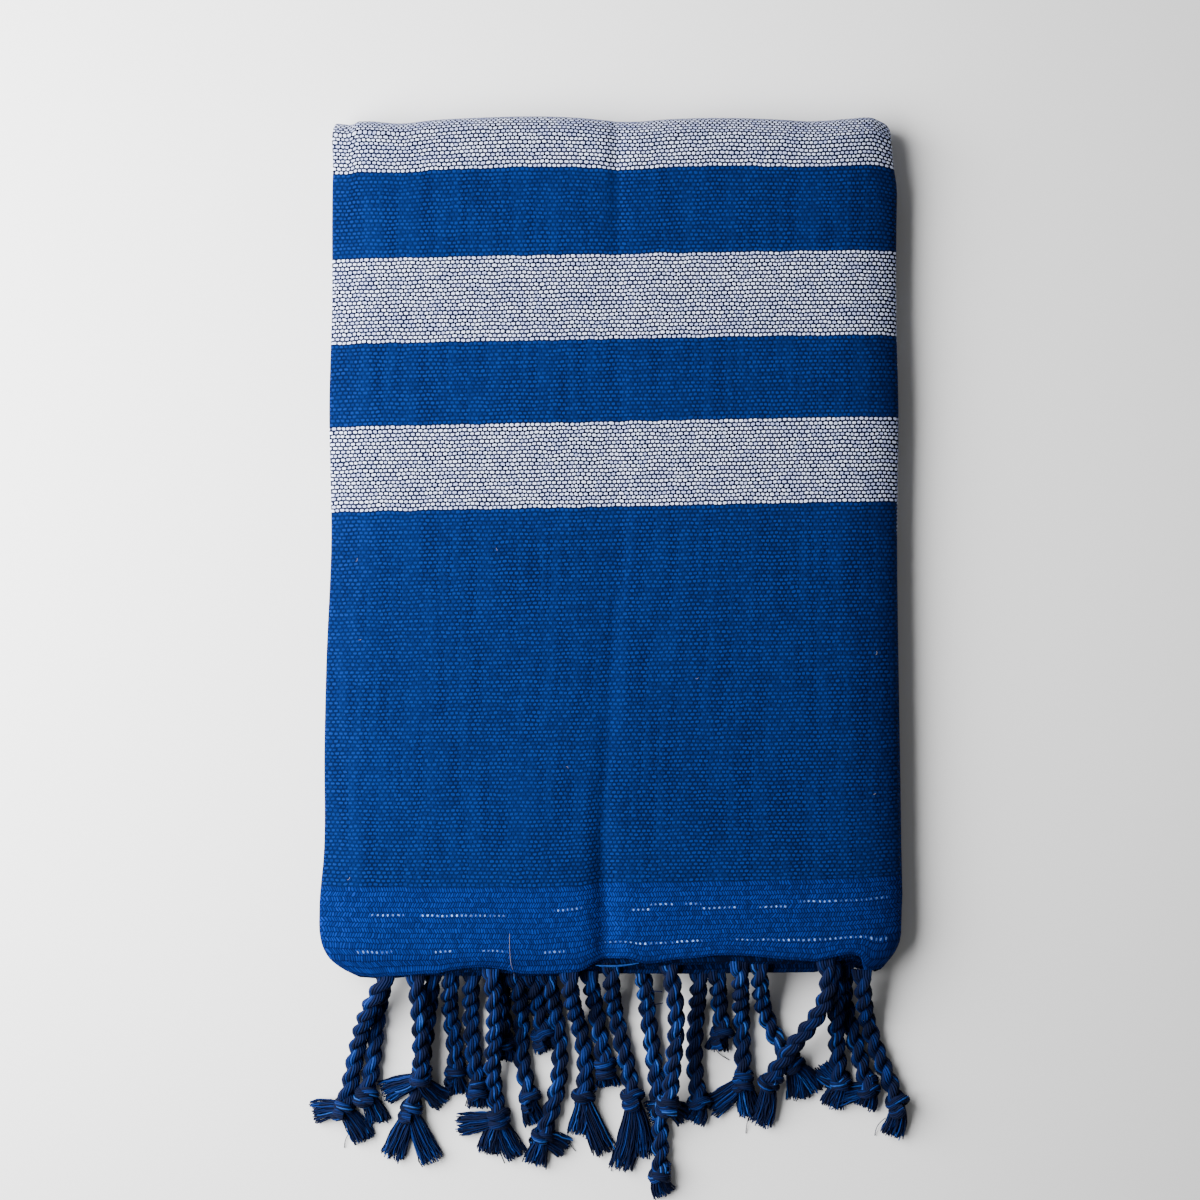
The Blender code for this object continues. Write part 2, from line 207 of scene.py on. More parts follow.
PUCKERS = (
    Pucker(x=-125.0, outer=-3.2, inner=-4.3),
    Pucker(x=-112.0, outer=-3.6, inner=-4.8),
    Pucker(x=-103.0, outer=-3.0, inner=-4.2),
    Pucker(x=-94.0, outer=-2.4, inner=-3.4),
    Pucker(x=-84.0, outer=-1.6, inner=-2.6),
    Pucker(x=-76.0, outer=-1.2, inner=-1.9),
    Pucker(x=-70.0, outer=0.1, inner=-1.4),
    Pucker(x=-45.0, outer=0.4, inner=-1.2),
    Pucker(x=-40.0, outer=-0.7, inner=-1.4),
    Pucker(x=-28.0, outer=-1.4, inner=-2.0),
    Pucker(x=-18.0, outer=-1.6, inner=-2.4),
    Pucker(x=-10.0, outer=-1.6, inner=-2.6),
    Pucker(x=-5.0, outer=0.0, inner=-2.4),
    Pucker(x=0.0, outer=1.2, inner=-2.2),
    Pucker(x=6.0, outer=1.4, inner=-2.2),
    Pucker(x=12.0, outer=1.1, inner=-2.4),
    Pucker(x=17.0, outer=-0.9, inner=-2.8),
    Pucker(x=22.0, outer=-0.8, inner=-2.8),
    Pucker(x=27.0, outer=0.1, inner=-2.6),
    Pucker(x=40.0, outer=0.9, inner=-2.7),
    Pucker(x=47.0, outer=1.7, inner=-2.8),
    Pucker(x=60.0, outer=1.3, inner=-3.0),
    Pucker(x=72.0, outer=-0.3, inner=-3.4),
    Pucker(x=82.0, outer=-1.6, inner=-3.8),
    Pucker(x=92.0, outer=-2.2, inner=-4.0),
    Pucker(x=98.0, outer=-0.6, inner=-2.2),
    Pucker(x=107.0, outer=-0.4, inner=-2.6),
    Pucker(x=110.0, outer=-2.2, inner=-4.4),
    Pucker(x=112.0, outer=-5.0, inner=-7.2),
    Pucker(x=114.2, outer=-7.8, inner=-9.4),
    Pucker(x=118.7, outer=-9.4, inner=-10.6),
    Pucker(x=122.0, outer=-9.0, inner=-10.4),
    Pucker(x=125.0, outer=-8.2, inner=-9.8),
)
TOPS = (
    Shift(x=-125.0, shift=-1.6),
    Shift(x=-120.0, shift=-2.3),
    Shift(x=-116.5, shift=-2.5),
    Shift(x=-114.5, shift=-1.2),
    Shift(x=-112.0, shift=-1.1),
    Shift(x=-95.0, shift=-2.2),
    Shift(x=-79.0, shift=-0.6),
    Shift(x=-68.0, shift=0.0),
    Shift(x=-13.0, shift=0.0),
    Shift(x=-2.0, shift=-1.1),
    Shift(x=9.0, shift=-1.5),
    Shift(x=20.0, shift=-0.6),
    Shift(x=75.0, shift=-0.6),
    Shift(x=85.0, shift=-1.2),
    Shift(x=107.0, shift=0.2),
    Shift(x=113.0, shift=0.8),
    Shift(x=117.5, shift=0.8),
    Shift(x=120.0, shift=-0.2),
    Shift(x=122.5, shift=-1.0),
    Shift(x=125.0, shift=-1.6),
)
SKEWS = (
    Skew(y=-150.0, drop=0.0),
    Skew(y=-70.0, drop=3.4),
    Skew(y=17.0, drop=5.0),
    Skew(y=90.0, drop=4.5),
    Skew(y=129.0, drop=4.2),
    Skew(y=166.0, drop=2.6),
    Skew(y=188.0, drop=2.4),
)
CREASES = (
    Crease(y=-185.0, x=-4.8, depth=150.0, left=10.0, right=14.0),
    Crease(y=-150.0, x=-5.4, depth=145.0, left=10.0, right=14.0),
    Crease(y=-125.0, x=-5.2, depth=75.0, left=8.0, right=10.0),
    Crease(y=-90.0, x=-3.8, depth=42.0, left=7.0, right=9.0),
    Crease(y=-50.0, x=-1.2, depth=34.0, left=22.0, right=9.0),
    Crease(y=-15.0, x=1.4, depth=32.0, left=24.0, right=9.0),
    Crease(y=40.0, x=1.8, depth=20.0, left=24.0, right=12.0),
    Crease(y=110.0, x=1.8, depth=20.0, left=24.0, right=12.0),
    Crease(y=135.0, x=1.0, depth=45.0, left=9.0, right=10.0),
    Crease(y=160.0, x=0.6, depth=70.0, left=6.5, right=9.0),
    Crease(y=188.0, x=0.4, depth=80.0, left=6.5, right=9.0),
)
LEVELS = (
    Level(number=1, left_near=0.0, left_far=0.0, right_near=0.0, right_far=0.0),
    Level(number=2, left_near=1.3, left_far=0.6, right_near=-1.1, right_far=-0.5),
    Level(number=3, left_near=0.4, left_far=1.0, right_near=-1.7, right_far=0.4),
    Level(number=4, left_near=1.6, left_far=1.2, right_near=-0.9, right_far=1.8),
)


class End(Enum):
    """The two ends of the cloth, by the level that each comes out of."""

    UPPER = 1
    LOWER = 2


class Station(NamedTuple):
    """A place on the path along the cloth, where one section across it stands.

    out_y and out_z are the way its outside looks, level has parts of one inside a fold, and upper
    and lower are how strongly it feels each end of the cloth.
    """

    y: float
    z: float
    out_y: float
    out_z: float
    level: float
    upper: float
    lower: float


# Where a bend of the section starts and ends, in degrees from +X
BELOW = -90.0
ABOVE = 90.0
BELOW_BY_LEFT = 270.0

# The columns of an array of stations
STATION_Y = Station._fields.index("y")
STATION_Z = Station._fields.index("z")
STATION_LEVEL = Station._fields.index("level")


@dataclass(frozen=True)
class Pack:
    """How the cloth is folded, and how the straight pack becomes the uneven one.

    Each reach is how far in from an edge a form is felt, and each fall the share of the height that
    is lost there. facing_up lists the levels whose outside looks up, and a station whose level is
    over below_top lies under the top one.
    """

    ply: float = 1.25 * MM
    ply_pitch: float = 1.60 * MM
    plies: int = 4
    level_gap: float = 0.50 * MM
    levels: int = 4
    half_width: float = 125.0 * MM
    far_y: float = 190.0 * MM
    near_fold_y: float = -184.0 * MM
    end_y: float = -185.0 * MM
    selvedge_under: float = 2.2 * MM
    selvedge_inner: float = 3.4 * MM
    top_step: float = 1.9 * MM
    hidden_step: float = 15.0 * MM
    along_step: float = 4.0 * MM
    hidden_along_step: float = 20.0 * MM
    hem_step: float = 1.5 * MM
    hem_zone: float = 12.0 * MM
    outer_bend_steps: int = 10
    inner_bend_steps: int = 6
    broad_reach: float = 60.0 * MM
    broad_fall: float = 0.08
    left_round_reach: float = 22.0 * MM
    left_round_fall: float = 0.10
    right_round_reach: float = 27.0 * MM
    right_round_fall: float = 0.19
    right_lip_reach: float = 10.0 * MM
    right_lip_fall: float = 0.07
    near_round_reach: float = 16.0 * MM
    near_round_fall: float = 0.07
    lip_reach: float = 5.0 * MM
    lip_fall: float = 0.07
    hem_reach: float = 125.0 * MM
    pucker_reach: float = 11.5 * MM
    top_reach: float = 60.0 * MM
    edge_hold: int = 4
    facing_up: tuple[int, ...] = (1, 3)
    below_top: float = 1.5

    @property
    def bundle(self) -> float:
        """The thickness of one level, which is four plies."""
        return (self.plies - 1) * self.ply_pitch + self.ply

    @property
    def level_pitch(self) -> float:
        """The height from one level to the next."""
        return self.bundle + self.level_gap

    def ply_height(self, ply: int) -> float:
        """The height of a ply's middle above its level's middle, ply 1 on the outside."""
        return ((self.plies + 1) / 2 - ply) * self.ply_pitch

    def level_height(self, level: float) -> float:
        """The height of a level's middle above the surface, level 1 on top."""
        return (self.levels - level) * self.level_pitch + self.bundle / 2

    def run(self, ply: int, start: float, end: float, step: float) -> list[tuple[float, ...]]:
        """Samples along one flat ply of the section across the cloth.

        Args:
            ply: the ply's number.
            start: where the run starts across the pack.
            end: where it ends.
            step: about how far apart two samples are.

        Returns:
            Rows of place across, height, and the two parts of the outward normal.
        """
        way = 1.0 if end > start else -1.0
        count = max(2, round(abs(end - start) / step))
        height = self.ply_height(ply)
        return [(start + (end - start) * index / count, height, 0.0, way) for index in range(count + 1)]

    def bend(
        self, centre: tuple[float, float], radius: float, angles: tuple[float, float], steps: int
    ) -> list[tuple[float, ...]]:
        """Samples inside a half-round bend of the section.

        Args:
            centre: the bend's middle, across and up.
            radius: the radius of the cloth's middle line.
            angles: where the bend starts and ends, in degrees.
            steps: the number of straight pieces in it.

        Returns:
            Rows as run gives them, without the two ends that its plies already have.
        """
        start, end = angles
        way = 1.0 if end > start else -1.0
        samples = []
        for step in range(1, steps):
            angle = math.radians(start + (end - start) * step / steps)
            out_x = math.cos(angle)
            out_n = math.sin(angle)
            place = (centre[0] + radius * out_x, centre[1] + radius * out_n)
            samples.append((*place, -way * out_x, -way * out_n))
        return samples

    def section(self) -> np.ndarray:
        """The middle line across the cloth, from one selvedge to the other.

        Returns:
            Rows as run gives them.
        """
        outer_radius = (self.plies - 1) / 2 * self.ply_pitch
        right = self.half_width - outer_radius - self.ply / 2
        left = -self.half_width + self.ply_pitch / 2 + self.ply / 2
        inner_radius = self.ply_pitch / 2
        line = self.run(4, -self.half_width + self.selvedge_under, right, self.hidden_step)
        line += self.bend((right, 0.0), outer_radius, (BELOW, ABOVE), self.outer_bend_steps)
        line += self.run(1, right, left, self.top_step)
        line += self.bend((left, self.ply_pitch), inner_radius, (ABOVE, BELOW_BY_LEFT), self.inner_bend_steps)
        line += self.run(2, left, right, self.hidden_step)
        line += self.bend((right, 0.0), inner_radius, (ABOVE, BELOW), self.inner_bend_steps)
        line += self.run(3, right, -self.half_width + self.selvedge_inner, self.hidden_step)
        return np.array(line)

    def end_weight(self, y: float) -> float:
        """How strongly the shape of the cloth's end is felt at a place along a level."""
        share = min(max((y - self.end_y) / self.hem_reach, 0.0), 1.0)
        return (1 - share) ** 2

    def flat_stations(self, level: int, ys: list[float]) -> list[Station]:
        """The stations along one flat level.

        Args:
            level: the level's number, 1 on top.
            ys: the places along it, in the order of the path.

        Returns:
            One station for each place.
        """
        up = 1.0 if level in self.facing_up else -1.0
        height = self.level_height(level)
        stations = []
        for y in ys:
            upper = self.end_weight(y) if level == End.UPPER.value else 0.0
            lower = self.end_weight(y) if level == End.LOWER.value else 0.0
            stations.append(Station(y, height, 0.0, up, level, upper, lower))
        return stations

    def fold_stations(
        self, y: float, levels: tuple[int, int], side: int, outward: int, steps: int
    ) -> list[Station]:
        """The stations inside a fold that joins two levels.

        Args:
            y: the middle of the fold.
            levels: the level that the path comes from and the one that it goes to.
            side: 1 for the far end of the pack, -1 for the near one.
            outward: 1 where the cloth's outside is the outside of the fold, and else -1.
            steps: the number of straight pieces in it.

        Returns:
            The stations, without the two ends that the levels already have.
        """
        start = self.level_height(levels[0])
        finish = self.level_height(levels[1])
        middle = (start + finish) / 2
        radius = abs(start - finish) / 2
        first = 1.0 if start > middle else -1.0
        stations = []
        for step in range(1, steps):
            share = step / steps
            out_y = side * math.sin(math.pi * share)
            out_z = first * math.cos(math.pi * share)
            level = levels[0] + (levels[1] - levels[0]) * share
            place = (y + radius * out_y, middle + radius * out_z, outward * out_y, outward * out_z)
            stations.append(Station(*place, level, 0.0, 0.0))
        return stations

    def along(self, start: float, end: float, step: float) -> list[float]:
        """Places along a level, closer together in the last stretch by the cloth's end.

        Args:
            start: the first place.
            end: the last one.
            step: the distance between two places beyond that stretch.

        Returns:
            The places, in order.
        """
        near = self.end_y + self.hem_zone
        count = max(2, round((end - near) / step))
        hem_count = max(1, round((near - start) / self.hem_step))
        places = [start + (near - start) * index / hem_count for index in range(hem_count)]
        return places + [near + (end - near) * index / count for index in range(count + 1)]

    def path(self) -> list[Station]:
        """The stations along the whole cloth.

        Returns:
            The stations, from its upper end to its lower one.
        """
        far = self.far_y - (self.levels - 1) / 2 * self.level_pitch - self.bundle / 2
        near = self.near_fold_y + self.level_pitch / 2 + self.bundle / 2
        hidden = self.along(near, far, self.hidden_along_step)
        stations = self.flat_stations(1, self.along(self.end_y, far, self.along_step))
        outer_steps = self.outer_bend_steps + self.inner_bend_steps
        stations += self.fold_stations(far, (1, 4), side=1, outward=1, steps=outer_steps)
        stations += self.flat_stations(4, hidden[::-1])
        stations += self.fold_stations(near, (4, 3), side=-1, outward=1, steps=self.inner_bend_steps)
        stations += self.flat_stations(3, hidden)
        stations += self.fold_stations(far, (3, 2), side=1, outward=-1, steps=self.inner_bend_steps)
        stations += self.flat_stations(2, self.along(self.end_y, far, self.hidden_along_step)[::-1])
        return stations

    def crease_x(self, y: np.ndarray) -> np.ndarray:
        """Where the middle crease runs at each place along the pack."""
        return Profile.of(CREASES, "y", "x").at(y)

    def height_left(self, x: np.ndarray, y: np.ndarray) -> np.ndarray:
        """How much of its height the soft pack keeps.

        Args:
            x: places across the pack.
            y: places along it.

        Returns:
            The share of the straight pack's height at each place.
        """
        left = x - Profile.of(EDGES, "y", "left").at(y)
        right = Profile.of(EDGES, "y", "right").at(y) - x
        lost = fall(left, self.broad_reach, self.broad_fall) + fall(right, self.broad_reach, self.broad_fall)
        lost = lost + fall(left, self.left_round_reach, self.left_round_fall)
        lost = lost + fall(right, self.right_round_reach, self.right_round_fall)
        lost = lost + fall(right, self.right_lip_reach, self.right_lip_fall)
        lost = lost + fall(y - self.end_y, self.near_round_reach, self.near_round_fall)
        lost = lost + fall(y - self.end_y, self.lip_reach, self.lip_fall)
        off = x - self.crease_x(y)
        left_reach = Profile.of(CREASES, "y", "left").at(y)
        right_reach = Profile.of(CREASES, "y", "right").at(y)
        reach = np.where(off < 0, left_reach, right_reach)
        return 1 - lost - fall(np.abs(off), reach, Profile.of(CREASES, "y", "depth").at(y))

    def inset(self, level: np.ndarray, side: str, y: np.ndarray) -> np.ndarray:
        """How far a level's edge stands in from the top level's, blended inside a fold.

        Args:
            level: the level at each station, with parts of one inside a fold.
            side: left or right.
            y: the places along the pack.

        Returns:
            The distances in metres.
        """
        along = np.clip((y - self.end_y) / (self.far_y - self.end_y), 0.0, 1.0)
        numbers = [row.number for row in LEVELS]
        near = np.interp(level, numbers, [getattr(row, side + "_near") for row in LEVELS])
        far = np.interp(level, numbers, [getattr(row, side + "_far") for row in LEVELS])
        return (near + (far - near) * along) * MM

    def settle(self, x: np.ndarray, n: np.ndarray, stations: list[Station]) -> np.ndarray:
        """Where points of the straight pack lie once it is uneven.

        Args:
            x: places across the pack, one for each sample of the section.
            n: heights above the level's middle, one for each sample of the section.
            stations: the stations, one for each row of the result.

        Returns:
            Points, as an array of stations by samples by three.
        """
        table = np.array(stations)[:, None, :]
        columns = (table[:, :, column] for column in range(len(Station._fields)))
        place_y, place_z, out_y, out_z, level, upper, lower = columns
        y = place_y + n * out_y
        z = place_z + n * out_z
        x = x + 0 * y
        y = y + Profile.of(HEMS, "x", "upper").at(x) * upper + Profile.of(HEMS, "x", "lower").at(x) * lower
        near = np.clip(1 - (place_y - self.end_y) / self.pucker_reach, 0.0, 1.0) * (upper > 0)
        outer = Profile.of(PUCKERS, "x", "outer").at(x)
        inner = Profile.of(PUCKERS, "x", "inner").at(x)
        y = y + np.where(n > self.ply_pitch, outer, inner) * near
        far = np.clip(1 - (self.far_y - y) / self.top_reach, 0.0, None)
        y = y + Profile.of(TOPS, "x", "shift").at(x) * far
        side = np.abs(x) / self.half_width
        left = Profile.of(EDGES, "y", "left").at(y) + self.half_width + self.inset(level, "left", y)
        right = Profile.of(EDGES, "y", "right").at(y) - self.half_width - self.inset(level, "right", y)
        edge = np.where(x < 0, left, right)
        x = x + edge * side**self.edge_hold + self.crease_x(y) * np.clip(1 - side, 0.0, None)
        return np.stack([x, y, z * self.height_left(x, y)], axis=-1)


def fall(distance: np.ndarray, reach: np.ndarray | float, depth: np.ndarray | float) -> np.ndarray:
    """How much of the height is lost at a distance in from an edge.

    Args:
        distance: how far in each point lies.
        reach: how far in the loss is felt.
        depth: the share of the height that is lost at the edge itself.

    Returns:
        The share that each point loses.
    """
    return depth * np.clip(1 - np.clip(distance, 0.0, None) / reach, 0.0, None) ** 2


# Making nodes and meshes


class Nodes:
    """A short way to add nodes to a tree and to join them.

    COLOUR_SOCKETS and NUMBER_SOCKETS are the places of the Mix node's two values and of its result,
    for each kind of value.
    """

    COLOUR_SOCKETS = (6, 7, 2)
    NUMBER_SOCKETS = (2, 3, 0)

    def __init__(self, tree: bpy.types.NodeTree, family: str) -> None:
        """Starts on an empty tree.

        Args:
            tree: the tree that gets the nodes.
            family: the prefix of its own node types, ShaderNode or GeometryNode.
        """
        self.tree = tree
        self.family = family
        tree.nodes.clear()

    def add(self, kind: str, **settings: object) -> bpy.types.Node:
        """Adds a node.

        Args:
            kind: the node's type without its family's prefix, or its whole type.
            settings: the node's own settings, such as its mode.

        Returns:
            The new node.
        """
        whole = kind.startswith(("ShaderNode", "GeometryNode", "FunctionNode", "NodeGroup"))
        node = self.tree.nodes.new(kind if whole else self.family + kind)
        for name, value in settings.items():
            setattr(node, name, value)
        return node

    def feed(self, target: Socket, value: Value) -> None:
        """Joins a socket to a value.

        Args:
            target: the socket.
            value: another socket, or a plain number, colour or vector.
        """
        if isinstance(value, Socket):
            self.tree.links.new(value, target)
        else:
            target.default_value = value

    def math(self, operation: str, *values: Value, clamp: bool = False) -> Socket:
        """A sum of numbers.

        Args:
            operation: what is done with them, as the Math node names it.
            values: sockets or numbers.
            clamp: whether the result is kept from 0 to 1.

        Returns:
            The result's socket.
        """
        node = self.add("ShaderNodeMath", operation=operation, use_clamp=clamp)
        for socket, value in zip(node.inputs, values):
            self.feed(socket, value)
        return node.outputs[0]

    def spread(self, value: Value, amount: float) -> Socket:
        """A number from 0 to 1 made one that swings evenly about 0.

        Args:
            value: the number's socket.
            amount: the whole width of the swing.

        Returns:
            The result's socket.
        """
        return self.math("MULTIPLY", self.math("SUBTRACT", value, 0.5), amount)

    def vector(self, operation: str, *values: Value) -> Socket:
        """A sum of vectors, where SCALE takes a vector and a number.

        Args:
            operation: what is done with them, as the Vector Math node names it.
            values: sockets or vectors.

        Returns:
            The resulting vector's socket.
        """
        node = self.add("ShaderNodeVectorMath", operation=operation)
        self.feed(node.inputs[0], values[0])
        if operation == "SCALE":
            self.feed(node.inputs["Scale"], values[1])
        elif len(values) > 1:
            self.feed(node.inputs[1], values[1])
        return node.outputs["Vector"]

    def ramp(self, value: Value, low: float, high: float, start: float = 0.0, end: float = 1.0) -> Socket:
        """A smooth step.

        Args:
            value: the socket that is read.
            low: where the step begins.
            high: where it ends.
            start: the result below low.
            end: the result above high.

        Returns:
            The result's socket.
        """
        node = self.add("ShaderNodeMapRange", interpolation_type="SMOOTHSTEP")
        for socket, given in zip(node.inputs, (value, low, high, start, end)):
            self.feed(socket, given)
        return node.outputs[0]

    def mix(self, share: Value, first: Value, second: Value, numbers: bool = False) -> Socket:
        """A colour between two colours, or a number between two numbers.

        Args:
            share: 0 for the first and 1 for the second.
            first: what is taken at 0.
            second: what is taken at 1.
            numbers: whether they are numbers.

        Returns:
            The result's socket.
        """
        node = self.add("ShaderNodeMix", data_type="FLOAT" if numbers else "RGBA")
        at_first, at_second, result = self.NUMBER_SOCKETS if numbers else self.COLOUR_SOCKETS
        self.feed(node.inputs[0], share)
        self.feed(node.inputs[at_first], first)
        self.feed(node.inputs[at_second], second)
        return node.outputs[result]

    def combine(self, x: Value, y: Value, z: Value = 0.0) -> Socket:
        """A vector from its three parts.

        Args:
            x: its first part.
            y: its second part.
            z: its third part.

        Returns:
            The vector's socket.
        """
        node = self.add("ShaderNodeCombineXYZ")
        for socket, value in zip(node.inputs, (x, y, z)):
            self.feed(socket, value)
        return node.outputs[0]

    def noise(self, vector: Value, scale: float, detail: float = 2.0) -> Socket:
        """Soft noise from 0 to 1.

        Args:
            vector: where it is read.
            scale: its cycles for each unit of the vector.
            detail: how many finer layers it has.

        Returns:
            The result's socket.
        """
        node = self.add("ShaderNodeTexNoise")
        self.feed(node.inputs["Vector"], vector)
        self.feed(node.inputs["Scale"], scale)
        self.feed(node.inputs["Detail"], detail)
        return node.outputs[0]

    def cell(self, column: Value, row: Value) -> Socket:
        """A random number from 0 to 1 for each cell of a grid.

        Args:
            column: the cell's column.
            row: the cell's row.

        Returns:
            The result's socket.
        """
        node = self.add("ShaderNodeTexWhiteNoise", noise_dimensions="2D")
        self.feed(node.inputs["Vector"], self.combine(column, row))
        return node.outputs[0]

    def carried(self, name: str) -> Socket:
        """A number that the mesh carries under a name."""
        return self.add("ShaderNodeAttribute", attribute_name=name).outputs["Fac"]

    def relief(self, height: Value, depth: float, strength: float = 1.0) -> Socket:
        """Fine relief of a surface.

        Args:
            height: the height from 0 to 1.
            depth: what 1 stands for, in metres.
            strength: how much of it is seen.

        Returns:
            The normal's socket.
        """
        node = self.add("ShaderNodeBump")
        self.feed(node.inputs["Height"], height)
        self.feed(node.inputs["Distance"], depth)
        self.feed(node.inputs["Strength"], strength)
        return node.outputs[0]

    def surface(self, colour: Value, roughness: float, gloss: float, normal: Socket | None = None) -> None:
        """Ends a material's tree.

        Args:
            colour: its colour.
            roughness: how matt it is.
            gloss: how strongly it mirrors.
            normal: its fine relief, if it has any.
        """
        shader = self.add("ShaderNodeBsdfPrincipled")
        self.feed(shader.inputs["Base Color"], colour)
        if normal is not None:
            self.feed(shader.inputs["Normal"], normal)
        self.feed(shader.inputs["Roughness"], roughness)
        self.feed(shader.inputs["Specular IOR Level"], gloss)
        output = self.add("ShaderNodeOutputMaterial")
        self.feed(output.inputs["Surface"], shader.outputs[0])


def new_material(name: str) -> tuple[bpy.types.Material, Nodes]:
    """Makes a material with an empty tree.

    Args:
        name: its name.

    Returns:
        The material and its nodes.
    """
    material = bpy.data.materials.new(name)
    material.use_nodes = True
    return material, Nodes(material.node_tree, "ShaderNode")


def plain_object(
    name: str, mesh: bpy.types.Mesh, material: bpy.types.Material | None = None
) -> bpy.types.Object:
    """Puts a mesh into the scene.

    Args:
        name: the piece's name.
        mesh: its mesh, in the row frame.
        material: its finish, if the mesh hasn't got one.

    Returns:
        The new object, at the origin.
    """
    if material is not None:
        mesh.materials.clear()
        mesh.materials.append(material)
    thing = bpy.data.objects.new(name, mesh)
    bpy.context.scene.collection.objects.link(thing)
    return thing


# Finishes


@dataclass(frozen=True)
class Weave:
    """The floats of one weave, in millimetres: their pitches, half sizes, squareness and lean."""

    across: float
    along: float
    half_across: float
    half_along: float
    squareness: float = 2.8
    foot: float = 1.35
    top: float = 0.45
    lean: float = 0.0


@dataclass(frozen=True)
class WovenCotton:
    """Plain weave with navy warp, white or blue weft in bands, and a denser heading at each end.

    Places on the cloth are in millimetres here. wander is how far the yarns stray from straight, a
    tone is made of a share for each float and one for each pick, and picks and warp ends are read
    from stretched noise, so that each has its own tone along its length.
    """

    name: str = "woven_cotton"
    body: Weave = Weave(across=2.14, along=1.71, half_across=0.80, half_along=0.60, foot=1.2, top=0.55)
    heading: Weave = Weave(across=1.15, along=2.2, half_across=0.42, half_along=1.06, lean=1.5)
    dots: Weave = Weave(across=2.14, along=2.2, half_across=0.42, half_along=0.46)
    heading_end: float = 37.4
    length: float = 1500.0
    white_bands: tuple[tuple[float, float], ...] = ((203.4, 240.7), (277.1, 314.1), (351.8, 398.0))
    white_weft: Colour = (0.69, 0.75, 1.00, 1.0)
    white_weft_dim: Colour = (0.39, 0.44, 0.72, 1.0)
    blue_weft: Colour = (0.0022, 0.0190, 0.130, 1.0)
    blue_weft_dim: Colour = (0.0014, 0.0115, 0.082, 1.0)
    warp: Colour = (0.0005, 0.0040, 0.026, 1.0)
    warp_light: Colour = (0.0008, 0.0080, 0.052, 1.0)
    # Painted shade: the navy warp between white floats is darker than the warp elsewhere, as shade between
    # the raised floats.
    shaded_warp_in_white: Colour = (0.0006, 0.0016, 0.012, 1.0)
    heading_warp: Colour = (0.0028, 0.0220, 0.180, 1.0)
    heading_warp_dim: Colour = (0.0012, 0.0100, 0.078, 1.0)
    heading_gap: Colour = (0.0005, 0.0048, 0.040, 1.0)
    speck: Colour = (0.23, 0.41, 0.86, 1.0)
    # The next two colours paint the warp-only ends of the plies under the top one a darker navy than the
    # warp, as painted shade under the hem.
    raw_end: Colour = (0.0003, 0.0016, 0.010, 1.0)
    shaded_raw_end_light: Colour = (0.0015, 0.0110, 0.075, 1.0)
    wander_scales: tuple[float, float] = (0.16, 0.11)
    wander_widths: tuple[float, float] = (2.6, 1.6)
    wander_detail: float = 3.0
    wander_apart: tuple[float, float, float] = (311.0, 97.0, 0.0)
    float_share: float = 0.26
    pick_share: float = 0.5
    tone_steps: tuple[float, float] = (0.25, 0.5)
    pick_stretch: tuple[float, float] = (0.035, 3.7)
    warp_stretch: tuple[float, float] = (2.9, 0.02)
    warp_steps: tuple[float, float] = (0.35, 0.65)
    speck_full: float = 0.8
    speck_least: float = 0.35
    relief_depth: float = 0.35 * MM
    relief_strength: float = 0.7
    roughness: float = 0.95
    gloss: float = 0.05

    def floats(self, nodes: Nodes, u: Socket, v: Socket, weave: Weave) -> tuple[Socket, Socket, Socket]:
        """The raised floats of a plain weave, as rounded blocks set in staggered rows.

        Args:
            nodes: the material's nodes.
            u: place across the cloth.
            v: place along the cloth.
            weave: the sizes of the floats and how they are set.

        Returns:
            Sockets for the float's cover from 0 to 1, its row and its column.
        """
        along = nodes.math("DIVIDE", v, weave.along)
        row = nodes.math("FLOOR", along)
        off_along = nodes.math("SUBTRACT", nodes.math("SUBTRACT", along, row), 0.5)
        odd = nodes.math("FLOORED_MODULO", row, 2.0)
        lean = nodes.math("MULTIPLY", nodes.math("SUBTRACT", odd, 0.5), off_along)
        across = nodes.math("ADD", nodes.math("DIVIDE", u, weave.across), nodes.math("MULTIPLY", odd, 0.5))
        across = nodes.math("ADD", across, nodes.math("MULTIPLY", lean, weave.lean))
        column = nodes.math("FLOOR", across)
        off_across = nodes.math("SUBTRACT", nodes.math("SUBTRACT", across, column), 0.5)
        parts = []
        for off, pitch, half in (
            (off_across, weave.across, weave.half_across),
            (off_along, weave.along, weave.half_along),
        ):
            part = nodes.math("ABSOLUTE", nodes.math("MULTIPLY", off, pitch / half))
            parts.append(nodes.math("POWER", part, weave.squareness))
        return nodes.ramp(nodes.math("ADD", *parts), weave.foot, weave.top), row, column

    def bands(self, nodes: Nodes, v: Socket) -> Socket:
        """Where the weft is white.

        Args:
            nodes: the material's nodes.
            v: place from the nearer end of the cloth.

        Returns:
            A socket that is 1 on the white bands and else 0, and changes between two picks.
        """
        pick = nodes.math("FLOOR", nodes.math("DIVIDE", v, self.body.along))
        pick = nodes.math("MULTIPLY", pick, self.body.along)
        total = None
        for start, end in self.white_bands:
            off = nodes.math("ABSOLUTE", nodes.math("SUBTRACT", pick, (start + end - self.body.along) / 2))
            inside = nodes.math("LESS_THAN", off, (end - start) / 2)
            total = inside if total is None else nodes.math("ADD", total, inside)
        return total

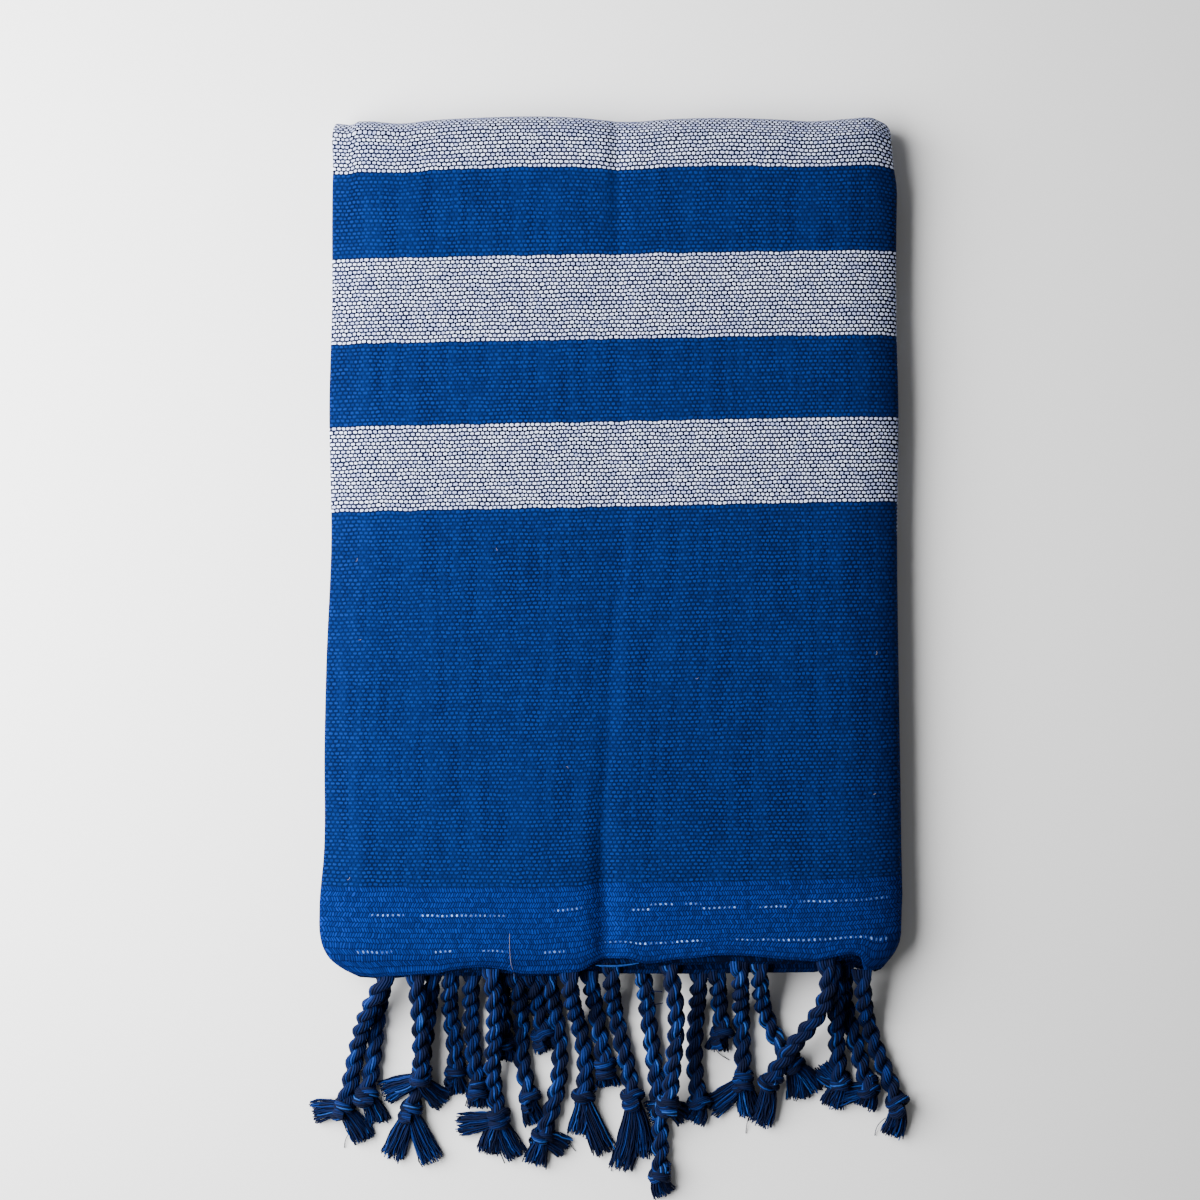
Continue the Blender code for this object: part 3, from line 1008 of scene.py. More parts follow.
    def build(self) -> bpy.types.Material:
        """Builds the material, which reads the cloth's own UV map in metres.

        Returns:
            The material.
        """
        material, nodes = new_material(self.name)
        place = nodes.vector("SCALE", nodes.add("UVMap", uv_map="cloth").outputs[0], 1 / MM)
        apart = nodes.vector("ADD", place, self.wander_apart)
        split = nodes.add("ShaderNodeSeparateXYZ")
        nodes.feed(split.inputs[0], place)
        from_end = nodes.math("SUBTRACT", self.length, split.outputs[1])
        from_end = nodes.math("MINIMUM", split.outputs[1], from_end)
        strayed = []
        for straight, where, scale, width in zip(
            (split.outputs[0], from_end), (place, apart), self.wander_scales, self.wander_widths
        ):
            wander = nodes.spread(nodes.noise(where, scale, self.wander_detail), width)
            strayed.append(nodes.math("ADD", straight, wander))
        self.dress(nodes, *strayed)
        return material

    def dress(self, nodes: Nodes, u: Socket, v: Socket) -> None:
        """Gives the material its colours and relief.

        Args:
            nodes: the material's nodes.
            u: place across the cloth.
            v: place from the nearer end of the cloth.
        """
        cover, row, column = self.floats(nodes, u, v, self.body)
        strokes, stroke_row, stroke_column = self.floats(nodes, u, v, self.heading)
        stroke = nodes.cell(stroke_column, stroke_row)
        in_heading = nodes.math("LESS_THAN", v, self.heading_end)
        body = self.body_colour(nodes, u, v, (cover, row, column))
        bright = nodes.mix(stroke, self.heading_warp_dim, self.heading_warp)
        band = nodes.mix(strokes, self.heading_gap, bright)
        colour = nodes.mix(in_heading, body, self.specks(nodes, u, v, band))
        # Painted shade: the ends of the plies under the top one take a darker navy than the warp, where the
        # hem shades them.
        shaded_warp_end = nodes.mix(nodes.math("MULTIPLY", strokes, stroke), self.raw_end, self.shaded_raw_end_light)
        colour = nodes.mix(nodes.carried("raw_end"), colour, shaded_warp_end)
        height = nodes.mix(in_heading, cover, strokes, numbers=True)
        normal = nodes.relief(height, self.relief_depth, self.relief_strength)
        nodes.surface(colour, self.roughness, self.gloss, normal)

    def body_colour(self, nodes: Nodes, u: Socket, v: Socket, weave: tuple[Socket, ...]) -> Socket:
        """The colour of the main weave.

        Args:
            nodes: the material's nodes.
            u: place across the cloth.
            v: place from the nearer end of the cloth.
            weave: the weave's floats, as floats gives them.

        Returns:
            The colour's socket.
        """
        cover, row, column = weave
        white = self.bands(nodes, v)
        near, apart = self.pick_stretch
        pick = nodes.combine(nodes.math("MULTIPLY", u, near), nodes.math("MULTIPLY", row, apart))
        pick = nodes.noise(pick, 1.0)
        apart, near = self.warp_stretch
        end = nodes.combine(nodes.math("MULTIPLY", column, apart), nodes.math("MULTIPLY", v, near))
        end = nodes.noise(end, 1.0)
        own_share = nodes.math("MULTIPLY", nodes.cell(column, row), self.float_share)
        tone = nodes.math("ADD", own_share, nodes.math("MULTIPLY", pick, self.pick_share))
        weft = nodes.mix(white, self.blue_weft, self.white_weft)
        dim = nodes.mix(white, self.blue_weft_dim, self.white_weft_dim)
        weft = nodes.mix(nodes.ramp(tone, *self.tone_steps), dim, weft)
        warp = nodes.mix(nodes.ramp(end, *self.warp_steps), self.warp, self.warp_light)
        # Painted shade: a darker navy warp between the raised white floats.
        warp = nodes.mix(white, warp, self.shaded_warp_in_white)
        return nodes.mix(cover, warp, weft)

    def specks(self, nodes: Nodes, u: Socket, v: Socket, band: Socket) -> Socket:
        """Lays the broken lines of pale yarn on the heading.

        Args:
            nodes: the material's nodes.
            u: place across the cloth.
            v: place from the nearer end of the cloth.
            band: the heading's colour.

        Returns:
            The heading's colour with the specks on it.
        """
        off = nodes.math("ABSOLUTE", nodes.math("SUBTRACT", v, nodes.carried("speck_line")))
        inside = nodes.math("LESS_THAN", off, self.heading.along / 2)
        dots, row, column = self.floats(nodes, u, v, self.dots)
        faint = nodes.ramp(nodes.cell(column, row), 0.0, self.speck_full, self.speck_least, 1.0)
        clear = nodes.math("MULTIPLY", nodes.carried("specks"), faint)
        shown = nodes.math("MULTIPLY", nodes.math("MULTIPLY", inside, dots), clear)
        return nodes.mix(shown, band, self.speck)


@dataclass(frozen=True)
class TwistedCotton:
    """Navy and blue yarns, each with its own tone, which the tone attribute gives."""

    name: str = "twisted_cotton"
    tones: tuple[tuple[float, Colour], ...] = (
        (0.0, (0.0004, 0.0022, 0.014, 1.0)),
        (0.35, (0.0007, 0.0047, 0.033, 1.0)),
        (0.65, (0.0012, 0.0098, 0.069, 1.0)),
        (0.88, (0.0027, 0.0220, 0.135, 1.0)),
        (1.0, (0.0090, 0.0550, 0.235, 1.0)),
    )
    fleck_scale: float = 900.0
    fleck_width: float = 0.35
    relief_depth: float = 0.1 * MM
    roughness: float = 0.85
    gloss: float = 0.12

    def build(self) -> bpy.types.Material:
        """Builds the material.

        Returns:
            The material.
        """
        material, nodes = new_material(self.name)
        place = nodes.add("ShaderNodeTexCoord").outputs["Object"]
        fleck = nodes.noise(place, self.fleck_scale)
        own = nodes.spread(fleck, self.fleck_width)
        tone = nodes.math("ADD", nodes.carried("tone"), own, clamp=True)
        ramp = nodes.add("ShaderNodeValToRGB")
        nodes.feed(ramp.inputs[0], tone)
        stops = ramp.color_ramp.elements
        while len(stops) < len(self.tones):
            stops.new(1.0)
        for stop, (where, colour) in zip(stops, self.tones):
            stop.position = where
            stop.color = colour
        normal = nodes.relief(fleck, self.relief_depth)
        nodes.surface(ramp.outputs[0], self.roughness, self.gloss, normal)
        return material


@dataclass(frozen=True)
class PlainFinish:
    """One matt colour with a little unevenness."""

    name: str
    colour: Colour
    variation: float = 0.04
    cloud_scale: float = 4.0
    roughness: float = 0.95
    gloss: float = 0.1

    def build(self) -> bpy.types.Material:
        """Builds the material, which reads Object coordinates.

        Returns:
            The material.
        """
        material, nodes = new_material(self.name)
        place = nodes.add("ShaderNodeTexCoord").outputs["Object"]
        cloud = nodes.noise(place, self.cloud_scale)
        darker = tuple(part * (1 - self.variation) for part in self.colour[:3]) + (1.0,)
        nodes.surface(nodes.mix(cloud, darker, self.colour), self.roughness, self.gloss)
        return material


# The cloth


class Span(NamedTuple):
    """A stretch of pale specks across the heading: how far from the end, from where to where, how clear."""

    line: float
    start: float
    end: float
    clear: float


SPECKS = (
    Span(line=25.3, start=-107.0, end=-93.0, clear=0.6),
    Span(line=25.3, start=-86.0, end=-69.0, clear=1.0),
    Span(line=25.3, start=-69.0, end=-48.0, clear=0.35),
    Span(line=27.5, start=-27.0, end=-15.0, clear=0.6),
    Span(line=25.3, start=8.0, end=15.0, clear=0.8),
    Span(line=27.5, start=18.0, end=25.0, clear=0.6),
    Span(line=27.5, start=32.0, end=39.0, clear=0.6),
    Span(line=25.3, start=39.0, end=54.0, clear=0.5),
    Span(line=25.3, start=64.0, end=76.0, clear=0.8),
    Span(line=27.5, start=81.0, end=98.0, clear=0.6),
    Span(line=27.5, start=98.0, end=120.0, clear=0.3),
    Span(line=9.9, start=-114.0, end=-99.0, clear=0.4),
    Span(line=9.9, start=-80.0, end=-71.0, clear=0.9),
    Span(line=9.9, start=-59.0, end=-48.0, clear=0.4),
    Span(line=9.9, start=-32.0, end=-22.0, clear=0.45),
    Span(line=9.9, start=-4.0, end=9.0, clear=0.35),
    Span(line=9.9, start=9.0, end=16.0, clear=0.9),
    Span(line=9.9, start=18.0, end=22.0, clear=0.8),
    Span(line=9.9, start=26.0, end=37.0, clear=0.9),
    Span(line=9.9, start=53.0, end=74.0, clear=0.55),
    Span(line=9.9, start=74.0, end=81.0, clear=1.0),
    Span(line=9.9, start=81.0, end=120.0, clear=0.55),
)


@dataclass(frozen=True)
class Cloth:
    """The striped cloth, one sheet with all of its folds."""

    pack: Pack
    first_pick: float = 1.3 * MM
    speck_between: float = 15.0 * MM
    speck_zone: float = 45.0 * MM
    speck_near_steps: int = 2
    # The next two set where the painted shade on the hidden ply ends fades out from the cloth's end.
    raw_shade_reach: float = 9.0 * MM
    raw_shade_hold: float = 1.5

    def lengths(self, across: np.ndarray, along: np.ndarray) -> np.ndarray:
        """The distance along a line from its start to each of its points."""
        return np.concatenate([[0.0], np.cumsum(np.hypot(np.diff(across), np.diff(along)))])

    def faces(self, rows: int, columns: int) -> list[tuple[int, int, int, int]]:
        """The faces of the closed sheet, whose points are numbered side by side, row by row.

        Args:
            rows: the number of stations.
            columns: the number of samples across.

        Returns:
            Four point numbers for each face, all wound the same way.
        """
        back = rows * columns
        quads = []
        for row in range(rows - 1):
            for column in range(columns - 1):
                here = row * columns + column
                quad = (here, here + 1, here + columns + 1, here + columns)
                quads.append(quad)
                quads.append(tuple(back + corner for corner in reversed(quad)))
            for here in (row * columns, row * columns + columns - 1):
                quad = (here, here + columns, back + here + columns, back + here)
                quads.append(quad if here == row * columns else quad[::-1])
        for column in range(columns - 1):
            for here in (column, (rows - 1) * columns + column):
                quad = (here, back + here, back + here + 1, here + 1)
                quads.append(quad if here == column else quad[::-1])
        return quads

    def specks(self, x: np.ndarray, v: np.ndarray) -> tuple[np.ndarray, np.ndarray]:
        """Where the heading shows pale yarn.

        Args:
            x: the places of the cloth's points across the pack.
            v: how far along the cloth each lies.

        Returns:
            How clear the specks are at each point, and how far from the end their line runs.
        """
        clear = np.zeros(v.shape)
        lines = np.zeros(v.shape)
        for span in SPECKS:
            middle = (span.start + span.end) / 2 * MM
            half = (span.end - span.start) / 2 * MM
            same_row = (v > self.speck_between) == (span.line * MM > self.speck_between)
            near = (np.abs(x - middle) < half + self.pack.top_step) & same_row & (v < self.speck_zone)
            lines = np.where(near, span.line, lines)
            step = self.pack.along_step
            if span.line * MM < self.speck_between:
                step = self.pack.hem_step * self.speck_near_steps
            inside = near & (np.abs(x - middle) < half) & (np.abs(v - span.line * MM) < step)
            clear = np.where(inside, span.clear, clear)
        return clear, lines

    def shaded_raw_ends(self, table: np.ndarray, n: np.ndarray) -> np.ndarray:
        """Where only warp yarn is left, at the very ends of the plies under the top one; there the colour is
        darkened as painted shade under the hem.

        Args:
            table: the stations, one for each row.
            n: heights above the level's middle, one for each sample of the section.

        Returns:
            1 on the raw ends, where painted shade darkens the colour, and 0 elsewhere, as an array of
            stations by samples.
        """
        off_end = table[:, STATION_Y, None] - self.pack.end_y
        near = np.clip(self.raw_shade_hold - off_end / self.raw_shade_reach, 0.0, 1.0)
        lower = table[:, STATION_LEVEL, None] > self.pack.below_top
        return near * np.maximum(lower, n[None, :] < self.pack.ply_pitch)

    def turns(self, table: np.ndarray, v: np.ndarray) -> np.ndarray:
        """How far the cloth has turned round the far fold, eased out under the pack.

        Args:
            table: the stations, one for each row.
            v: how far along the cloth each lies.

        Returns:
            The angle at each station.
        """
        on_top = np.flatnonzero(table[:, STATION_LEVEL] == End.UPPER.value)
        below = np.flatnonzero(table[:, STATION_LEVEL] == self.pack.levels)
        stops = (v[on_top[0]], v[on_top[-1]], v[below[0]], v[below[-1]])
        return np.interp(v, stops, (0.0, 0.0, math.pi, 0.0))

    def woven_places(
        self, table: np.ndarray, across: np.ndarray, up: np.ndarray, heights: list[np.ndarray]
    ) -> np.ndarray:
        """Where each point of the sheet lies on the flat cloth, its picks leaning as in the pack.

        Args:
            table: the stations, one for each row.
            across: places across the pack, one for each sample of the section.
            up: heights above the level's middle, one for each sample.
            heights: those of the outer and of the inner side.

        Returns:
            Places across and along the cloth, of the outer side and then of the inner one.
        """
        u = self.lengths(across, up)[None, :] + np.zeros((len(table), 1))
        on_top = table[:, STATION_LEVEL] < self.pack.below_top
        skew = (Profile.of(SKEWS, "y", "drop").at(table[:, STATION_Y]) * on_top)[:, None]
        along = self.first_pick + self.lengths(table[:, STATION_Y], table[:, STATION_Z])
        lean = along[:, None] - skew * across[None, :] / (2 * self.pack.half_width)
        turned = self.turns(table, along)[:, None]
        return np.concatenate([np.stack([u, lean + turned * n], axis=-1).reshape(-1, 2) for n in heights])

    def build(self, material: bpy.types.Material) -> bpy.types.Object:
        """Builds the cloth.

        Args:
            material: the woven finish.

        Returns:
            The cloth's object, with its UV map in metres.
        """
        across, up, out_x, out_n = self.pack.section().T
        stations = self.pack.path()
        half = self.pack.ply / 2
        outer = self.pack.settle(across + half * out_x, up + half * out_n, stations)
        inner = self.pack.settle(across - half * out_x, up - half * out_n, stations)
        rows, columns = outer.shape[:2]
        mesh = bpy.data.meshes.new("towel_cloth")
        points = np.concatenate([outer.reshape(-1, 3), inner.reshape(-1, 3)])
        mesh.from_pydata(points.tolist(), [], self.faces(rows, columns))
        table = np.array(stations)
        heights = [up + side * half * out_n for side in (1, -1)]
        places = self.woven_places(table, across, up, heights)
        corners = np.empty(len(mesh.loops), dtype=np.int32)
        mesh.loops.foreach_get("vertex_index", corners)
        mesh.uv_layers.new(name="cloth").data.foreach_set("uv", places[corners].ravel())
        clear, lines = self.specks(points[:, 0], places[:, 1])
        # Painted shade on the ends of the plies under the top one.
        shade_on_ends = np.concatenate([self.shaded_raw_ends(table, n).ravel() for n in heights])
        for name, values in (("specks", clear), ("speck_line", lines), ("raw_end", shade_on_ends)):
            mesh.attributes.new(name, "FLOAT", "POINT").data.foreach_set("value", values)
        mesh.polygons.foreach_set("use_smooth", np.ones(len(mesh.polygons), dtype=bool))
        mesh.validate()
        mesh.update()
        return plain_object("towel_cloth", mesh, material)


# The fringe


class Rope(NamedTuple):
    """A rope from its root at the cloth's end to its knot, and the tip of its longest lock.

    bow and sway bend it sideways, once and in an S; droop is how far out it reaches the surface.
    """

    name: str
    ply: int
    root: float
    knot_x: float
    knot_y: float
    bow: float
    sway: float
    droop: float
    tip_x: float
    tip_y: float


class Lock(NamedTuple):
    """A shorter lock that leaves a knot beside the longest one."""

    rope: str
    tip_x: float
    tip_y: float


UPPER_ROPES = (
    Rope("u01", 1, -108.0, -121.4, -251.4, -3.2, -0.9, 38, -134.8, -253.7),
    Rope("u02", 2, -89.4, -86.5, -237.0, 1.0, 0.0, 85, -102.5, -244.5),
    Rope("u03", 1, -52.2, -51.8, -255.9, -0.7, 1.3, 65, -56.4, -271.0),
    Rope("u04", 1, -16.0, -14.1, -245.6, 1.7, -1.3, 30, -4.8, -270.0),
    Rope("u05", 2, 3.0, 8.2, -246.8, -1.6, -0.7, 28, 3.0, -277.0),
    Rope("u06", 2, 27.4, 24.0, -248.5, 3.2, 0.6, 110, 32.0, -255.6),
    Rope("u07", 1, 57.5, 57.5, -238.9, 0.6, 0.0, 29, 43.6, -250.9),
    Rope("u08", 2, 66.0, 79.5, -231.0, -4.6, 0.3, 30, 90.0, -243.4),
    Rope("u09", 1, 95.0, 68.8, -239.0, 6.4, 2.2, 75, 65.4, -258.2),
    Rope("u10", 2, 97.2, 101.1, -240.7, 0.4, 0.3, 49, 97.3, -250.4),
    Rope("u11", 1, 115.0, 127.1, -249.2, -3.2, -0.5, 32, 124.3, -263.1),
)
LOWER_ROPES = (
    Rope("d01", 2, -107.0, -111.3, -245.6, -0.7, -0.7, 18, -106.4, -257.7),
    Rope("d02", 1, -81.4, -91.0, -252.5, 1.0, -0.4, 20, -99.5, -273.0),
    Rope("d03", 2, -71.6, -71.2, -235.4, -1.3, -0.8, 21, -70.8, -244.8),
    Rope("d04", 1, -61.8, -61.5, -243.0, -1.6, -0.2, 20, -61.2, -250.9),
    Rope("d05", 2, -41.4, -37.6, -246.5, -0.8, 1.2, 22, -35.2, -257.6),
    Rope("d06", 1, -26.5, -32.5, -264.0, 6.8, -0.6, 19, -36.0, -276.0),
    Rope("d07", 2, -7.0, -4.1, -233.6, 0.0, 0.0, 18, -2.9, -241.7),
    Rope("d08", 1, 16.7, 20.3, -281.0, 1.8, -0.6, 20, 22.6, -290.0),
    Rope("d09", 2, 40.6, 37.8, -248.7, -1.6, 0.6, 21, 35.3, -257.5),
    Rope("d10", 1, 104.6, 113.4, -242.5, -2.6, -0.6, 18, 112.0, -250.9),
    Rope("d11", 1, -48.4, -49.2, -223.4, 0.0, 0.0, 17, -49.0, -230.0),
    Rope("d12", 1, -33.4, -31.8, -219.3, -0.2, 0.0, 17, -30.2, -225.4),
    Rope("d13", 2, 48.2, 48.4, -218.2, 0.0, 0.0, 17, 46.1, -225.4),
)
LOCKS = (
    Lock("u01", -112.6, -265.4),
    Lock("u02", -77.0, -248.5),
    Lock("d02", -82.2, -274.0),
    Lock("u03", -69.6, -259.0),
    Lock("u03", -44.4, -272.4),
    Lock("u04", -16.2, -262.8),
    Lock("u07", 60.7, -254.0),
    Lock("u10", 92.6, -233.6),
    Lock("d06", -22.4, -269.8),
    Lock("u05", 11.8, -272.0),
    Lock("u06", 15.6, -253.6),
    Lock("u08", 82.4, -246.4),
    Lock("d10", 97.4, -246.6),
)


class Thread(NamedTuple):
    """A single loose yarn, from where to where, how far it bows, its two heights and its tone."""

    start_x: float
    start_y: float
    end_x: float
    end_y: float
    bow: float
    start_z: float
    end_z: float
    tone: float


LOOSE_YARNS = (
    Thread(43.0, -219.0, 51.5, -230.5, 2.0, 2.5, 0.4, 0.1),
    Thread(16.0, -197.0, 21.5, -203.0, 4.0, 15.0, 11.0, 0.2),
    Thread(21.0, -197.5, 15.0, -204.0, 3.5, 14.0, 10.0, 0.3),
    Thread(92.0, -236.5, 100.0, -237.5, 1.0, 6.5, 5.0, 1.0),
    Thread(-98.0, -243.0, -88.0, -236.5, 1.5, 9.0, 12.5, 1.0),
    Thread(-70.0, -236.0, -63.0, -246.0, 1.5, 5.0, 0.4, 0.1),
    Thread(-118.0, -262.0, -121.5, -270.0, 1.0, 2.0, 0.4, 0.1),
    Thread(-49.0, -258.0, -53.5, -271.0, 1.4, 3.0, 0.4, 0.2),
    Thread(-21.0, -262.0, -17.5, -271.5, 1.2, 3.0, 0.4, 0.1),
    Thread(1.5, -268.0, -1.5, -280.5, 1.4, 2.0, 0.4, 0.2),
    Thread(121.5, -256.0, 117.0, -264.5, 1.2, 3.0, 0.4, 0.2),
    Thread(63.0, -250.0, 59.0, -263.5, 1.0, 3.0, 0.4, 0.1),
    Thread(-8.5, -184.6, 10.5, -183.6, 0.5, 21.6, 21.8, 0.95),
    Thread(-7.0, -185.0, 9.0, -184.0, 0.6, 21.3, 21.5, 0.95),
)


class Lint(NamedTuple):
    """A short pale fibre that lies on the top of the pack."""

    x: float
    y: float
    turn: float
    length: float


LINT = (
    Lint(x=-113.5, y=-6.0, turn=70.0, length=1.6),
    Lint(x=-112.0, y=-41.0, turn=20.0, length=1.2),
    Lint(x=-117.0, y=-146.0, turn=50.0, length=1.8),
    Lint(x=-52.0, y=-1.5, turn=110.0, length=1.3),
    Lint(x=36.0, y=-58.0, turn=15.0, length=1.2),
    Lint(x=115.0, y=-47.0, turn=80.0, length=1.8),
    Lint(x=114.0, y=-109.0, turn=30.0, length=1.4),
    Lint(x=-21.0, y=-97.0, turn=140.0, length=1.1),
    Lint(x=70.0, y=96.0, turn=60.0, length=1.2),
)
PALE = (0.16, 0.15, 0.16, 1.0)
LINT_BOW = 1 / 6
LINT_RADIUS = 0.1 * MM
PALE_THREADS = (
    Thread(-46.2, -170.0, -45.6, -184.0, 0.3, 26.1, 24.6, 0.0),
    Thread(-45.6, -184.0, -44.4, -193.0, -0.4, 24.6, 15.0, 0.0),
)


class Guides:
    """Lines for a tree to follow, each point with its own numbers."""

    def __init__(self, columns: tuple[str, ...]) -> None:
        """Starts without a line.

        Args:
            columns: the names of the numbers that every point carries.
        """
        self.columns = columns
        self.points: list[Vector] = []
        self.edges: list[tuple[int, int]] = []
        self.numbers: list[tuple[float, ...]] = []

    def add(self, points: list[Vector], numbers: list[tuple[float, ...]]) -> None:
        """Adds a line.

        Args:
            points: where it runs.
            numbers: the numbers of each point, in the order of the columns.
        """
        first = len(self.points)
        self.points += points
        self.numbers += numbers
        self.edges += [(first + index, first + index + 1) for index in range(len(points) - 1)]

    def object(self, name: str) -> bpy.types.Object:
        """Makes an object of the lines.

        Args:
            name: its name.

        Returns:
            The object, whose points carry the numbers as attributes.
        """
        mesh = bpy.data.meshes.new(name)
        mesh.from_pydata([tuple(point) for point in self.points], self.edges, [])
        for index, column in enumerate(self.columns):
            values = [row[index] for row in self.numbers]
            mesh.attributes.new(column, "FLOAT", "POINT").data.foreach_set("value", values)
        return plain_object(name, mesh)


class YarnTree:
    """A tree of nodes that lays yarns along guide lines, and the parts that its kinds share.

    RANDOM_SOCKETS are the places of the Random Value node's least, most and result, for numbers.
    """

    RANDOM_SOCKETS = (2, 3, 1)

    def __init__(self, name: str, sizes: dict[str, float], counts: dict[str, int]) -> None:
        """Makes the tree with its named inputs.

        Args:
            name: the tree's name.
            sizes: the names of its lengths and angles, with their values.
            counts: the names of its whole numbers, with their values.
        """
        self.tree = bpy.data.node_groups.new(name, "GeometryNodeTree")
        self.nodes = Nodes(self.tree, "GeometryNode")
        self.values: dict[str, float] = {}
        self.tree.interface.new_socket("Geometry", in_out="INPUT", socket_type="NodeSocketGeometry")
        for label, value in sizes.items():
            socket = self.tree.interface.new_socket(label, in_out="INPUT", socket_type="NodeSocketFloat")
            self.values[socket.identifier] = value
        for label, count in counts.items():
            socket = self.tree.interface.new_socket(label, in_out="INPUT", socket_type="NodeSocketInt")
            self.values[socket.identifier] = count
        self.tree.interface.new_socket("Geometry", in_out="OUTPUT", socket_type="NodeSocketGeometry")
        self.given = self.nodes.add("NodeGroupInput").outputs

    def read(self, name: str) -> Socket:
        """Reads a number that the guides' points carry.

        Args:
            name: the number's name.

        Returns:
            Its socket.
        """
        node = self.nodes.add("GeometryNodeInputNamedAttribute", data_type="FLOAT")
        node.inputs["Name"].default_value = name
        return node.outputs["Attribute"]

    def curves(self) -> Socket:
        """The guide lines as curves.

        Returns:
            The curves.
        """
        curve = self.nodes.add("GeometryNodeMeshToCurve")
        self.nodes.feed(curve.inputs[0], self.given["Geometry"])
        return curve.outputs[0]

    def even(self, mode: str, measure: str, size: Socket) -> Socket:
        """The guide lines as curves with evenly spaced points.

        Args:
            mode: how the points are measured out, LENGTH or COUNT.
            measure: the name of the node's input for that.
            size: the step or the number of points.

        Returns:
            The curves.
        """
        node = self.nodes.add("GeometryNodeResampleCurve", mode=mode)
        self.nodes.feed(node.inputs["Curve"], self.curves())
        self.nodes.feed(node.inputs[measure], size)
        return node.outputs[0]

    def store(self, geometry: Socket, name: str, value: Value, domain: str = "POINT") -> Socket:
        """Keeps a number on the geometry under a name.

        Args:
            geometry: the geometry's socket.
            name: the attribute's name.
            value: the number's socket.
            domain: what carries it, POINT or CURVE.

        Returns:
            The geometry with the attribute.
        """
        node = self.nodes.add("GeometryNodeStoreNamedAttribute", data_type="FLOAT", domain=domain)
        self.nodes.feed(node.inputs["Geometry"], geometry)
        node.inputs["Name"].default_value = name
        self.nodes.feed(node.inputs["Value"], value)
        return node.outputs[0]

    def random(self, seed: int, low: float = 0.0, high: float = 1.0) -> Socket:
        """A fixed random number for each spline or point.

        Args:
            seed: what fixes it.
            low: the least that it can be.
            high: the most.

        Returns:
            Its socket.
        """
        node = self.nodes.add("FunctionNodeRandomValue", data_type="FLOAT")
        least, most, result = self.RANDOM_SOCKETS
        node.inputs[least].default_value = low
        node.inputs[most].default_value = high
        node.inputs["Seed"].default_value = seed
        return node.outputs[result]

    def split(self, geometry: Socket, amount: Value) -> tuple[Socket, Socket]:
        """Copies every spline.

        Args:
            geometry: the splines.
            amount: how many of each.

        Returns:
            The copies, and the number of each among its fellows.
        """
        node = self.nodes.add("GeometryNodeDuplicateElements", domain="SPLINE")
        self.nodes.feed(node.inputs["Geometry"], geometry)
        self.nodes.feed(node.inputs["Amount"], amount)
        index = self.nodes.add("GeometryNodeCaptureAttribute", domain="CURVE")
        index.capture_items.new("INT", "number")
        self.nodes.feed(index.inputs[0], node.outputs[0])
        self.nodes.feed(index.inputs[1], node.outputs[1])
        return index.outputs[0], index.outputs[1]

    def move(self, geometry: Socket, offset: Value, clear: Value) -> Socket:
        """Moves the splines' points, and keeps them above the surface.

        Args:
            geometry: the splines.
            offset: how far each point moves.
            clear: the least height of a point.

        Returns:
            The moved splines.
        """
        place = self.nodes.vector("ADD", self.nodes.add("GeometryNodeInputPosition").outputs[0], offset)
        parts = self.nodes.add("ShaderNodeSeparateXYZ")
        self.nodes.feed(parts.inputs[0], place)
        height = self.nodes.math("MAXIMUM", parts.outputs[2], clear)
        node = self.nodes.add("GeometryNodeSetPosition")
        self.nodes.feed(node.inputs["Geometry"], geometry)
        raised = self.nodes.combine(parts.outputs[0], parts.outputs[1], height)
        self.nodes.feed(node.inputs["Position"], raised)
        return node.outputs[0]

    def close(
        self, geometry: Socket, radius: Value, scale: Value, sides: int, material: bpy.types.Material
    ) -> None:
        """Gives the splines their thickness and finish, and ends the tree.

        Args:
            geometry: the splines.
            radius: a yarn's radius.
            scale: the share of it at each point.
            sides: the number of faces round a yarn.
            material: the yarns' finish.
        """
        circle = self.nodes.add("GeometryNodeCurvePrimitiveCircle")
        circle.inputs["Resolution"].default_value = sides
        self.nodes.feed(circle.inputs["Radius"], radius)
        tube = self.nodes.add("GeometryNodeCurveToMesh")
        self.nodes.feed(tube.inputs["Curve"], geometry)
        self.nodes.feed(tube.inputs["Profile Curve"], circle.outputs[0])
        self.nodes.feed(tube.inputs["Scale"], scale)
        tube.inputs["Fill Caps"].default_value = True
        real = self.nodes.add("GeometryNodeRealizeInstances")
        self.nodes.feed(real.inputs[0], tube.outputs[0])
        dressed = self.nodes.add("GeometryNodeSetMaterial")
        self.nodes.feed(dressed.inputs["Geometry"], real.outputs[0])
        dressed.inputs["Material"].default_value = material
        self.nodes.feed(self.nodes.add("NodeGroupOutput").inputs[0], dressed.outputs[0])

    def apply(self, guides: Guides, name: str, material: bpy.types.Material) -> bpy.types.Object:
        """Runs the tree on guides and keeps the result as a plain mesh.

        Args:
            guides: the lines.
            name: the piece's name.
            material: the yarns' finish.

        Returns:
            The piece.
        """
        holder = guides.object(name + "_guides")
        modifier = holder.modifiers.new("yarns", "NODES")
        modifier.node_group = self.tree
        for identifier, value in self.values.items():
            modifier[identifier] = value
        graph = bpy.context.evaluated_depsgraph_get()
        mesh = bpy.data.meshes.new_from_object(holder.evaluated_get(graph), depsgraph=graph)
        holder.modifiers.remove(modifier)
        bpy.data.objects.remove(holder, do_unlink=True)
        mesh.name = name
        mesh.polygons.foreach_set("use_smooth", np.ones(len(mesh.polygons), dtype=bool))
        return plain_object(name, mesh, material)


